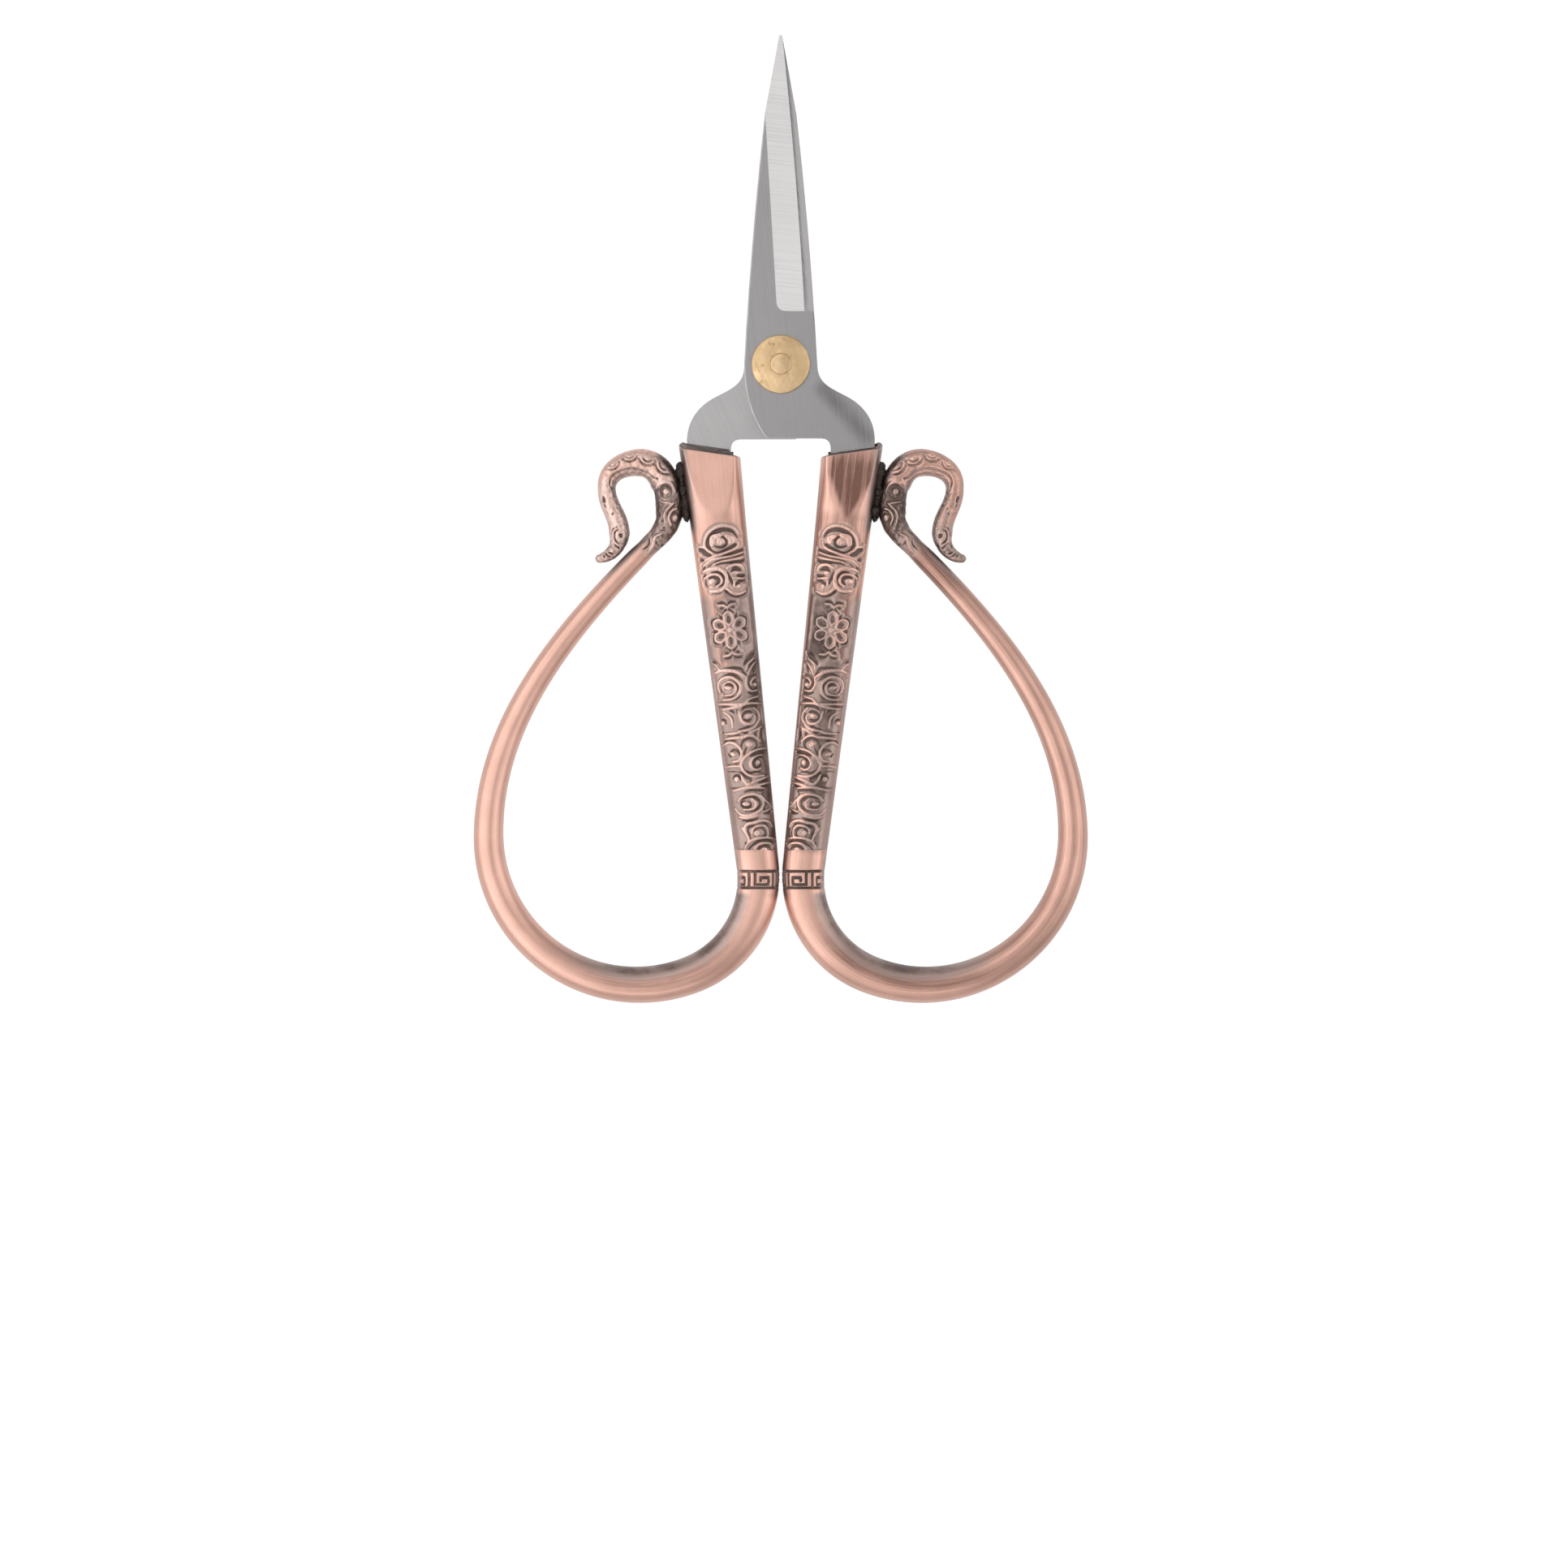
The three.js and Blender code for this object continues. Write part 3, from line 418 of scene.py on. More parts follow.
class ScissorsFinishes(bpy.types.PropertyGroup):
    """Colours of the metals, the bonds and the floor."""

    copper: FloatVectorProperty(
        name="Copper", description="Polished antique copper", subtype="COLOR", size=3,
        default=(0.80, 0.475, 0.38), min=0, max=1)
    copper_rubbed: FloatVectorProperty(
        name="Rubbed copper", description="The paler copper of raised ornament", subtype="COLOR",
        size=3, default=(0.74, 0.545, 0.485), min=0, max=1)
    copper_shade: FloatVectorProperty(
        name="Brown copper", description="Copper that the polish has left brown", subtype="COLOR",
        size=3, default=(0.2, 0.092, 0.066), min=0, max=1)
    film: FloatVectorProperty(
        name="Grey film", description="Thin patina on ground that the polish hardly reached", subtype="COLOR",
        size=3, default=(0.42, 0.305, 0.27), min=0, max=1)
    patina: FloatVectorProperty(
        name="Patina", description="Dark skin left in the hollows", subtype="COLOR", size=3,
        default=(0.115, 0.07, 0.057), min=0, max=1)
    # One satin steel in two tones: the rear blade's copy is painted lighter and the front's darker, standing
    # in for the different light on the two blades
    steel: FloatVectorProperty(
        name="Steel", description="Satin steel of the front blade", subtype="COLOR", size=3,
        default=(0.375, 0.363, 0.365), min=0, max=1)
    rear_steel_painted_lighter: FloatVectorProperty(
        name="Rear steel", description="Satin steel of the rear blade", subtype="COLOR", size=3,
        default=(0.48, 0.466, 0.466), min=0, max=1)
    ground_steel: FloatVectorProperty(
        name="Ground steel", description="Freshly ground faces of the blades", subtype="COLOR", size=3,
        default=(0.585, 0.568, 0.568), min=0, max=1)
    brass: FloatVectorProperty(
        name="Brass", description="Washers and rivet", subtype="COLOR", size=3,
        default=(0.76, 0.545, 0.32), min=0, max=1)
    brass_tarnish: FloatVectorProperty(
        name="Brass tarnish", description="Dull spots on the brass", subtype="COLOR", size=3,
        default=(0.40, 0.26, 0.12), min=0, max=1)
    solder: FloatVectorProperty(
        name="Solder", description="Blackened bead between curl and grip", subtype="COLOR", size=3,
        default=(0.05, 0.04, 0.035), min=0, max=1)
    cement: FloatVectorProperty(
        name="Cement", description="Resin round the tang", subtype="COLOR", size=3,
        default=(0.03, 0.025, 0.022), min=0, max=1)
    floor: FloatVectorProperty(
        name="Floor", description="Studio floor", subtype="COLOR", size=3,
        default=(0.9, 0.9, 0.9), min=0, max=1)


# Meshes

def to_row(points, turned_over):
    """Millimetres round the pivot to metres in the row frame; the rear half is the front one turned over."""
    points = np.asarray(points, float)
    if turned_over:
        points = points * (-1, 1, -1)
    return points * MM + np.array(PIVOT)


def new_piece(name, vertices, faces, materials):
    mesh = bpy.data.meshes.new(name)
    mesh.from_pydata(np.asarray(vertices).tolist(), [], [list(face) for face in faces])
    mesh.update()
    return add_object(name, mesh, materials)


def add_object(name, mesh, materials):
    piece = bpy.data.objects.new(name, mesh)
    bpy.context.scene.collection.objects.link(piece)
    for material in materials:
        mesh.materials.append(material)
    return piece


def shade_smooth(mesh):
    mesh.polygons.foreach_set("use_smooth", np.ones(len(mesh.polygons), bool))


def give_values(mesh, name, values):
    values = np.asarray(values, np.float32)
    kind, field = ("FLOAT", "value") if values.ndim == 1 else ("FLOAT_VECTOR", "vector")
    mesh.attributes.new(name, kind, "POINT").data.foreach_set(field, values.ravel())


def place(piece, body, slot, *nodes):
    """Puts a piece on its body, in place of the solids that it stands for. Its slot is not used."""
    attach(piece, body)
    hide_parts(*nodes)


def smooth(low, high, value):
    """A soft step from 0 at low to 1 at high, either way round."""
    share = np.clip((value - low) / (high - low), 0, 1)
    return share * share * (3 - 2 * share)


def highest(*parts):
    return reduce(np.maximum, parts)


def hump(low, high, soft, value):
    """1 between low and high, falling to 0 over soft on each side."""
    return smooth(low - soft, low, value) * (1 - smooth(high, high + soft, value))


def rumple(points, size, seed):
    """Smooth made-up unevenness between about -1 and 1: a few waves in fixed directions."""
    draw = np.random.default_rng(seed)
    total = np.zeros(points.shape[:-1])
    waves = 9
    for _ in range(waves):
        way = draw.normal(size=3)
        way *= 2 * math.pi / size / np.linalg.norm(way) * draw.uniform(0.6, 1.5)
        total += np.sin(points @ way + draw.uniform(0, 2 * math.pi))
    return total / math.sqrt(waves)


# The rod of a handle

Rod = namedtuple("Rod", "s x y way_x way_y width depth power neck")
RUN_SAMPLES = 400
RUNS_TO_NECK = 6
TINY = 1e-4


def straight(start, end):
    return lambda t: start + (end - start) * t[:, None]


def round_about(centre, radius, start, end):
    def at(t):
        angle = start + (end - start) * t
        return centre + radius * np.stack((np.cos(angle), np.sin(angle)), 1)
    return at


def bend(start, leave, end, arrive):
    """A cubic curve that leaves and arrives by the given pulls."""
    p1, p2 = start + leave, end - arrive

    def at(t):
        t = t[:, None]
        return (1 - t)**3 * start + 3 * t * (1 - t)**2 * p1 + 3 * t * t * (1 - t) * p2 + t**3 * end
    return at


def turn(start, leave, end, arrive):
    """A bend with pulls in proportion to the distance between its ends."""
    pull = ROUND_PULL * np.linalg.norm(end - start)
    return bend(start, leave * pull, end, arrive * pull)


def bar_half_width(distance):
    return (MOUTH_WIDTH + (COLLAR_WIDTH - MOUTH_WIDTH) * distance / COLLAR_LENGTH) / 2


def rod_line():
    """The rod's centre line and section from the socket mouth to the tail, closely sampled."""
    lean = math.radians(BOWL_LEAN)
    opening = np.array((-math.sin(lean), -math.cos(lean)))
    side_x = BOWL_REACH - BOWL_END_WIDTH / 2
    bowl_radius = (side_x - heel_centre[0] - HEEL_RADIUS * opening[0]) / (1 - opening[0])
    bowl_centre = heel_centre + opening * (HEEL_RADIUS - bowl_radius)
    heel_from = bar_angle - math.pi / 2 + 2 * math.pi
    bowl_from = math.atan2(opening[1], opening[0]) + 2 * math.pi
    shoulder_offset = bar_half_width(SHOULDER_DROP) + CURL_GAP + CURL[1][2] / 2
    shoulder = on_bar(SHOULDER_DROP, shoulder_offset)
    neck, shoulder, crown, flank, hock, tip = (shoulder + np.array(turning[:2]) for turning in CURL)
    slant = math.radians(NECK_SLANT)
    neck_way = np.array((-math.sin(slant), math.cos(slant)))
    up, out = np.array((0.0, 1.0)), np.array((1.0, 0.0))
    sections = [(*turning[2:], 2) for turning in CURL]
    side_start = np.array((side_x, bowl_centre[1]))
    mouth_section = (MOUTH_WIDTH, MOUTH_DEPTH, SQUARENESS)
    collar_section = (COLLAR_WIDTH, GRIP_DEPTH, SQUARENESS)
    grip_section = (HEEL_WIDTH, GRIP_DEPTH, SQUARENESS)
    bowl_section = (BOWL_START_WIDTH, BOWL_START_DEPTH, 2)
    side_section = (BOWL_END_WIDTH, BOWL_END_WIDTH, 2)
    runs = (
        (straight(on_bar(-MOUTH_WIDTH / 2, 0), MOUTH), mouth_section),
        (straight(MOUTH, on_bar(COLLAR_LENGTH, 0)), collar_section),
        (straight(on_bar(COLLAR_LENGTH, 0), on_bar(bar_length, 0)), grip_section),
        (round_about(heel_centre, HEEL_RADIUS, heel_from, bowl_from), bowl_section),
        (round_about(bowl_centre, bowl_radius, bowl_from, 2 * math.pi), side_section),
        (bend(side_start, up * BOWL_PULL, neck, neck_way * NECK_PULL), sections[0]),
        (turn(neck, neck_way, shoulder, up), sections[1]),
        (turn(shoulder, up, crown, out), sections[2]),
        (turn(crown, out, flank, -up), sections[3]),
        (turn(flank, -up, hock, -up), sections[4]),
        (turn(hock, -up, tip, out), sections[5]),
    )
    share = np.linspace(0, 1, RUN_SAMPLES)
    section = np.array(mouth_section, float)
    places, ways, shapes = [], [], []
    for curve, end in runs:
        keep = share if not places else share[1:]
        places.append(curve(keep))
        ways.append(curve(keep + TINY) - curve(keep - TINY))
        shapes.append(section + (np.array(end, float) - section) * keep[:, None])
        section = np.array(end, float)
    neck_index = sum(len(part) for part in places[:RUNS_TO_NECK]) - 1
    place_xy, way, shape = (np.concatenate(parts) for parts in (places, ways, shapes))
    way /= np.linalg.norm(way, axis=1)[:, None]
    steps = np.linalg.norm(np.diff(place_xy, axis=0), axis=1)
    s = np.concatenate(((0,), np.cumsum(steps))) - MOUTH_WIDTH / 2
    return Rod(s, *place_xy.T, *way.T, *shape.T, s[neck_index])


FLAT_SOFTNESS = 0.05
NOMINAL_SECTION = (3.3, 2.4)


def skin(rod, s, angle):
    """Points of the rod's plain surface at distances s and angles round it, flattened at the collar."""
    names = ("width", "depth", "power", "x", "y", "way_x", "way_y")
    width, depth, power, x, y, way_x, way_y = (np.interp(s, rod.s, getattr(rod, name)) for name in names)
    scale = np.hypot(way_x, way_y)
    cosine, sine = np.cos(angle), np.sin(angle)
    across = width / 2 * np.sign(cosine) * np.abs(cosine)**(2 / power)
    height = depth / 2 * np.abs(sine)**(2 / power)
    flat = COLLAR_THICKNESS / 2
    height = flat - FLAT_SOFTNESS * np.logaddexp(0, (flat - height) / FLAT_SOFTNESS)
    height = np.maximum(height, 0) * np.sign(sine)
    return np.stack((x - way_y / scale * across, y + way_x / scale * across, height), -1)


def round_angles(count, side_density):
    """Angles round a section, closer together on its front and back than on its sides."""
    fine = np.linspace(0, math.pi / 2, RUN_SAMPLES)
    weight = side_density + (1 - side_density) * smooth(0.35, 0.8, np.sin(fine))
    half_width, half_depth = NOMINAL_SECTION
    nominal = np.stack((half_width * np.cos(fine)**0.8, half_depth * np.sin(fine)**0.8), 1)
    run = np.linalg.norm(np.diff(nominal, axis=0), axis=1) * (weight[1:] + weight[:-1]) / 2
    run = np.concatenate(((0,), np.cumsum(run)))
    quarter = np.interp(np.linspace(0, run[-1], count // 4 + 1)[:-1], run, fine)
    mirrored = math.pi - np.concatenate((quarter[1:], (math.pi / 2,)))[::-1]
    half = np.concatenate((quarter, mirrored))
    return np.concatenate((half, half + math.pi))


def outward_normals(grid):
    """Normals of a closed tube given as rows of rings."""
    round_way = np.roll(grid, -1, 1) - np.roll(grid, 1, 1)
    long_way = np.gradient(grid, axis=0)
    normal = np.cross(round_way, long_way)
    return normal / np.maximum(np.linalg.norm(normal, axis=2), 1e-12)[..., None]


def spans_from_middle(grid):
    """Signed distance over the skin from the middle line of the front or back, positive near angle 0."""
    count = grid.shape[1]
    steps = np.linalg.norm(np.roll(grid, -1, 1) - grid, axis=2)
    run = np.concatenate((np.zeros((len(grid), 1)), np.cumsum(steps, 1)), 1)
    front = run[:, count // 4, None] - run[:, :count // 2 + 1]
    back = run[:, count // 2 + 1:count] - run[:, 3 * count // 4, None]
    return np.concatenate((front, back), 1)


FAR = 9.0
STROKE_REACH = 1.2
# The share of its width that a stroke keeps at its ends
GROOVE_END = 0.35
RIB_END = 0.7
# How high the sunken ground lies, where the skin is 1
GROUND = 0.46
UPPER_GROUND = 0.6


def through(places, steps=6):
    """A smooth line of points through places."""
    places = np.asarray(places, float)
    ends = 2 * places[0] - places[1], 2 * places[-1] - places[-2]
    a, b, c, d = (np.concatenate((ends[:1], places, ends[1:]))[i:len(places) - 1 + i, None] for i in range(4))
    t = np.linspace(0, 1, steps, endpoint=False)[:, None]
    line = b + (c - a) * t / 2 + (2 * a - 5 * b + 4 * c - d) * t**2 / 2 + (3 * b - a - 3 * c + d) * t**3 / 2
    return np.concatenate((line.reshape(-1, 2), places[-1:]))


class Relief:
    """A height over the unrolled skin of a rod: 1 is the skin, 0 the bottom of the deepest grooves."""

    def __init__(self, along, across):
        self.along, self.across = np.broadcast_arrays(along, across)
        self.height = np.ones(self.along.shape)
        self.worked = np.zeros(self.along.shape)

    def lay(self, mask, level):
        """Brings the height to a level under a mask."""
        self.height = self.height + mask * (level - self.height)

    def cut(self, depth):
        """Takes the skin down by a depth, where it isn't lower already."""
        self.height = np.minimum(self.height, 1 - depth)

    def outside(self, stroke, end_width):
        """Distance from the edge of a stroke, less than 0 inside; end_width is the share left at its ends."""
        half, places = stroke[0], through(stroke[1:])
        reach = (places[:, 0].min() - STROKE_REACH, places[:, 0].max() + STROKE_REACH)
        rows = slice(*np.searchsorted(self.along[:, 0], reach))
        result = np.full(self.along.shape, FAR)
        along, across = self.along[rows], self.across[rows]
        nearest = np.full(along.shape, FAR)
        steps = len(places) - 1
        for number, (start, step) in enumerate(zip(places[:-1], np.diff(places, axis=0))):
            ahead, aside = along - start[0], across - start[1]
            share = np.clip((ahead * step[0] + aside * step[1]) / (step @ step), 0, 1)
            taper = end_width + (1 - end_width) * np.sin((number + share) / steps * math.pi)
            gap = np.hypot(ahead - share * step[0], aside - share * step[1])
            nearest = np.minimum(nearest, gap - half * taper)
        result[rows] = nearest
        return result

    def carve(self, grooves, ribs, ground=GROUND):
        """Lowers the ground round all the strokes a little, cuts the grooves and lets the ribs stand."""
        cuts = [self.outside(groove, GROOVE_END) for groove in grooves]
        lines = [self.outside(rib, RIB_END) for rib in ribs]
        worked = 1 - smooth(0.05, 0.45, reduce(np.minimum, cuts + lines))
        self.lay(worked, ground)
        self.worked = np.maximum(self.worked, worked)
        for groove in cuts:
            self.cut(1 - smooth(-0.08, 0.13, groove))
        for rib in lines:
            self.lay(1 - smooth(-0.13, 0.16, rib), 1.0)


def rosette(relief):
    """A plain flower of raised lines, with a sprig above and below."""
    grooves, ribs = [], [(0.36, *(np.array(ROSETTE_PLACE) + ((0.05, 0), (-0.05, 0))))]

    def at(bearing, reach, aside=0.0):
        cosine, sine = math.cos(bearing), math.sin(bearing)
        along = ROSETTE_PLACE[0] + reach * cosine - aside * sine
        across = ROSETTE_PLACE[1] + reach * sine + aside * cosine
        return along, across

    # Places are given from the middle of the flower: outwards, then aside.
    petal = ((0.62, 0), (1.2, 0.55), (2.0, 0.6), (2.45, 0), (2.0, -0.6), (1.2, -0.55), (0.62, 0))
    for number in range(ROSETTE_PETALS):
        bearing = 2 * math.pi * number / ROSETTE_PETALS
        between = bearing + math.pi / ROSETTE_PETALS
        ribs.append((0.18, *(at(bearing, *point) for point in petal)))
        grooves.append((0.28, at(bearing, 1.1), at(bearing, 1.9)))
        grooves.append((0.25, at(between, 1.0), at(between, 2.4)))
        grooves.append((0.19, at(bearing, 2.25, -0.8), at(bearing, 2.78), at(bearing, 2.25, 0.8)))
    for bearing in (0, math.pi):
        for side in (-1, 1):
            sprig = at(bearing, 2.95), at(bearing, 3.35, 0.45 * side), at(bearing, 3.4, 1.2 * side)
            ribs.append((0.18, *sprig))
            outline = at(bearing, 3.3), at(bearing, 3.7, 0.5 * side), at(bearing, 3.75, 1.25 * side)
            grooves.append((0.19, *outline))
            grooves.append((0.15, at(bearing, 2.95, 0.5 * side), at(bearing, 3.0, 1.05 * side)))
    relief.carve(grooves, ribs)


def crown_beads():
    """Strokes of the beads on the crown, with their arcs open towards the outside."""
    grooves, ribs = [], []
    swing = np.linspace(-BEAD_SWING, BEAD_SWING, 6)
    for along, across, size in CROWN_BEADS:
        arcs = []
        for reach in BEAD_ARCS:
            radius = reach * size
            arc = [(along + radius * math.sin(lean), across - radius * math.cos(lean)) for lean in swing]
            arcs.append(arc)
        inner, middle, outer = arcs
        grooves += [(0.13, *inner), (0.16, *outer)]
        ribs += [(0.14, *middle), (0.3 * size, (along - 0.05, across), (along + 0.05, across))]
    return grooves, ribs


def lower_field(relief, drop):
    """The dense field of clouds, which ends at a plain band."""
    field = smooth(LOWER_FIELD_START - 0.2, LOWER_FIELD_START + 0.2, relief.along)
    relief.lay(field, GROUND)
    relief.worked = np.maximum(relief.worked, field)
    relief.carve(LOWER_GROOVES, LOWER_RIBS)
    plain = smooth(PLAIN_BAND_DROP - 0.06, PLAIN_BAND_DROP + 0.06, drop)
    relief.lay(plain, 1.0)
    relief.worked = relief.worked * (1 - plain)


FRET_PATH = ((0.0, 0.0), (1.8, 0.0), (1.8, 1.87), (0.85, 1.87), (0.85, 0.75), (1.25, 0.75))
FRET_BAR = ((-0.2, 2.58), (2.4, 2.58))
FRET_PLACE = 0.42
FRET_OVERLAP = 0.3
FRET_HALF_WIDTH = 0.13


def fret_band(relief, drop, girth, depth):
    """A square fret between two cut lines, repeated all round and cut to a depth."""
    top, bottom = FRET_DROP
    cell = girth / FRET_CELLS
    local = np.mod(FRET_PLACE - relief.across + FRET_OVERLAP, cell) - FRET_OVERLAP
    unrolled = Relief(drop - top, local)
    for border in FRET_DROP:
        relief.cut(depth * (1 - smooth(0.06, 0.2, np.abs(drop - border))))
    within = depth * hump(top, bottom, 0.04, drop)
    for line in (FRET_PATH, FRET_BAR):
        for start, end in zip(line[:-1], line[1:]):
            bar = unrolled.outside((FRET_HALF_WIDTH, start, end), 1.0)
            relief.cut(within * (1 - smooth(-0.02, 0.1, bar)))


def soften(values, times):
    """Spreads values over their neighbours in the grid."""
    for _ in range(times):
        beside = np.roll(values, 1, 1) + np.roll(values, -1, 1)
        before, after = np.vstack((values[:1], values[:-1])), np.vstack((values[1:], values[-1:]))
        values = (values + beside + before + after) / 5
    return values


# How the two handles wore, and where shade is painted on them. A facet browns from its mouth to its point,
# and painted shade darkens the lower ornament between two offsets from the grip's middle. Bow, neck and curl
# say how brown the polish left them; the right bow's brown is partly painted shade.
FACET_LENGTH = 11.0
FACET_HALF_WIDTH = 3.5
FACET_MIDDLE = 0.3
FACET_FLAT = (2.28, 2.45)
RUBBED = 0.5
WearAndShade = namedtuple("WearAndShade", "facet_mouth facet_point inner_patina inner_brown ornament_brown dark_from dark_to "
                          "panel_brown bow neck curl")
WEAR_AND_SHADE = {
    "left": WearAndShade(
        facet_mouth=0.0, facet_point=0.35, inner_patina=0.75, inner_brown=0.45, ornament_brown=0.1,
        dark_from=0.2, dark_to=-2.2, panel_brown=0.5, bow=0.0, neck=0.0, curl=0.0),
    "right": WearAndShade(
        facet_mouth=0.25, facet_point=0.9, inner_patina=0.12, inner_brown=0.5, ornament_brown=0.34,
        dark_from=-1.6, dark_to=0.2, panel_brown=0.75, bow=0.26, neck=0.42, curl=0.6),
}

# Where the finishes of the grip and the bow lie, from the mouth
SEAM_RUN = (0.5, 10.5)
ORNAMENT_RUN = (10, 54)
PANEL_RUN = (21.6, 28.6)
LOWER_RUN = (29.5, 54)
ORNAMENT_FADE = (53.5, 55.5)
BANDS_RUN = (56.0, 60.0)
HEEL_END = 66
BOTTOM_RUN = (63, 84)
MIDDLE_RUN = (71, 86)

# How far before the neck its shade begins, and how brown the bottom of both bows is
NECK_SHADE = 12
BOTTOM_BROWN = 0.2

# Where the finishes of the curl lie, from its neck
SHOULDER_RUN = (3.0, 12.0)
CROWN_RUN = (12, 19)
HOCK_RUN = (20.5, 28)
TAIL_DULL = (24, 28)

# How the tail thickens and rounds off, by the distance to its end
TAIL_SWELL = 0.18
TAIL_SWELL_RUN = (4, 1)
TAIL_NOSE = 0.45

# How the handle is cut into rows and sides
Zone = namedtuple("Zone", "grid along round relief patina tarnish")
COLLAR_ROWS = 40
COLLAR_END = 9.0
MOUTH_ROUNDS = 8
GRIP_END = 60.3
GRIP_PITCH = 0.085
BOW_PITCH = 0.8
CURL_PITCH = 0.09
CURL_LEAD = 2.6
GRIP_SIDES, BOW_SIDES, CURL_SIDES = 208, 64, 128
SIDE_DENSITY = 0.5


def even_angles(count):
    return np.arange(count) * 2 * math.pi / count


def mouth_distance(offset, height):
    """How far down the bar the slanting, roof-shaped mouth lies at an offset and a height."""
    slant = math.radians(MOUTH_SLANT)
    roof = LIP_SETBACK / (COLLAR_THICKNESS / 2) * np.abs(height) / math.cos(slant)
    corners = INNER_CORNER * smooth(2.3, 3.2, -offset) + OUTER_CORNER * smooth(3.4, 4.1, offset)
    return -math.tan(slant) * offset + highest(roof, corners)


def bar_offset(points):
    return (points[..., :2] - MOUTH) @ outward


def grip_relief(grid, along, across, angle):
    """The ornament of a grip: the upper clouds, the rosette, the lower clouds and the fret band."""
    relief = Relief(along, across)
    drop = -grid[..., 1]
    relief.carve(UPPER_GROOVES, UPPER_RIBS, UPPER_GROUND)
    rosette(relief)
    lower_field(relief, drop)
    relief.cut(0.12 * relief.worked * smooth(0.2, 1.4, rumple(grid, 0.5, 12)))
    on_front = 1 - smooth(ORNAMENT_HALF_SPAN - 0.5, ORNAMENT_HALF_SPAN, np.abs(across))
    relief.lay(1 - on_front, 1.0)
    relief.worked = relief.worked * on_front
    girth = np.linalg.norm(np.roll(grid, -1, 1) - grid, axis=2).sum(1)[:, None]
    fret_band(relief, drop, girth, 1 - 0.85 * smooth(0.78, 0.98, np.abs(np.cos(angle))))
    return relief


def grip_zone(rod, sizes, side):
    """The grip, whose first row follows the slanting mouth."""
    wear_and_shade = WEAR_AND_SHADE[side]
    angle = round_angles(GRIP_SIDES, SIDE_DENSITY)
    rim = sizes.rim_round / MM
    start = np.zeros(GRIP_SIDES)
    for _ in range(MOUTH_ROUNDS):
        edge = skin(rod, start, angle)
        start = mouth_distance(bar_offset(edge), edge[:, 2]) + rim
    shares = np.linspace(0, 1, COLLAR_ROWS, endpoint=False)[:, None]
    collar = start + (COLLAR_END - start) * shares
    rows = np.arange(COLLAR_END, GRIP_END + GRIP_PITCH / 2, GRIP_PITCH)
    along = np.concatenate((collar, np.repeat(rows[:, None], GRIP_SIDES, 1)))
    grid = skin(rod, along, angle)
    across = spans_from_middle(grid)
    relief = grip_relief(grid, along, across, angle)
    patina, tarnish = grip_finish(along, across, angle, relief, wear_and_shade)
    wedge = FACET_HALF_WIDTH * np.clip(1.6 * (1 - along / FACET_LENGTH), 0, 1)
    facet = smooth(-0.1, 1.0, wedge - np.abs(across - FACET_MIDDLE)) * smooth(*FACET_FLAT, grid[..., 2])
    facet_brown = wear_and_shade.facet_mouth + (wear_and_shade.facet_point - wear_and_shade.facet_mouth) * smooth(-0.5, 3.5, along)
    turned = np.broadcast_to(angle, along.shape)
    return Zone(grid, along, turned, relief.height, patina, tarnish + facet * facet_brown)


def foot_of_ribs(relief):
    """Dark skin left in the corners below whatever stands up."""
    return 0.5 * np.clip(soften(relief.height, 5) - relief.height, 0, 1) * relief.worked


def grip_finish(along, across, angle, relief, wear_and_shade):
    """How much dark skin is left on the grip and how much brown, with painted shade on the side of each grip
    away from the light.
    """
    cosine = np.cos(angle)
    inner = smooth(0.35, 0.95, -cosine)
    outer = smooth(0.6, 1.0, cosine)
    from_middle = np.abs(across)
    sunk = 1 - relief.height
    standing = smooth(0.75, 1.0, relief.height) * relief.worked
    halo = 0.8 * soften(sunk, 5) * (1 - 0.9 * standing)
    # Painted shade: the lower ornament is darkened towards the side of each grip that faces away from the
    # light
    shaded = 0.8 * smooth(wear_and_shade.dark_from, wear_and_shade.dark_to, across) * hump(*LOWER_RUN, 1.5, along)
    shaded = shaded * (1 - 0.8 * smooth(1.5, 2.6, across))
    seam = 0.85 * smooth(0.55, 1.0, cosine) * hump(*SEAM_RUN, 1.5, along)
    # Patina on the inner side of the grip, partly painted shade: strongest on the left grip, whose inner side
    # faces away from the light
    inner_side = inner * wear_and_shade.inner_patina * smooth(8, 22, along)
    outer_side = 0.4 * outer * smooth(20, 30, along)
    panel = hump(*PANEL_RUN, 2.6, along)
    panel_inner = panel * (0.12 + wear_and_shade.panel_brown * smooth(1.6, -1.2, across))
    panel_inner = panel_inner * smooth(3.4, 2.4, from_middle)
    panel_outer = 0.5 * panel * smooth(1.4, 3.0, across)
    edges = highest(outer_side, inner_side, panel_inner, panel_outer, shaded)
    edges = edges * (1 - smooth(*ORNAMENT_FADE, along))
    flanks = 0.65 * smooth(0.75, 1.0, np.abs(cosine)) * hump(*BANDS_RUN, 4.0, along)
    patina = highest(0.97 * sunk, halo, seam, flanks, edges * (1 - 0.55 * standing)) + foot_of_ribs(relief)
    on_face = smooth(4.2, 2.8, from_middle)
    panel_brown = panel * (wear_and_shade.panel_brown + 0.5 * smooth(1.5, -2.0, across)) * on_face
    tarnish = highest(wear_and_shade.inner_brown * inner * smooth(2, 8, along), 0.2 * relief.worked, panel_brown)
    ornament_brown = wear_and_shade.ornament_brown * hump(*ORNAMENT_RUN, 1.5, along) * on_face
    return patina, tarnish * (1 - standing) - RUBBED * standing + ornament_brown


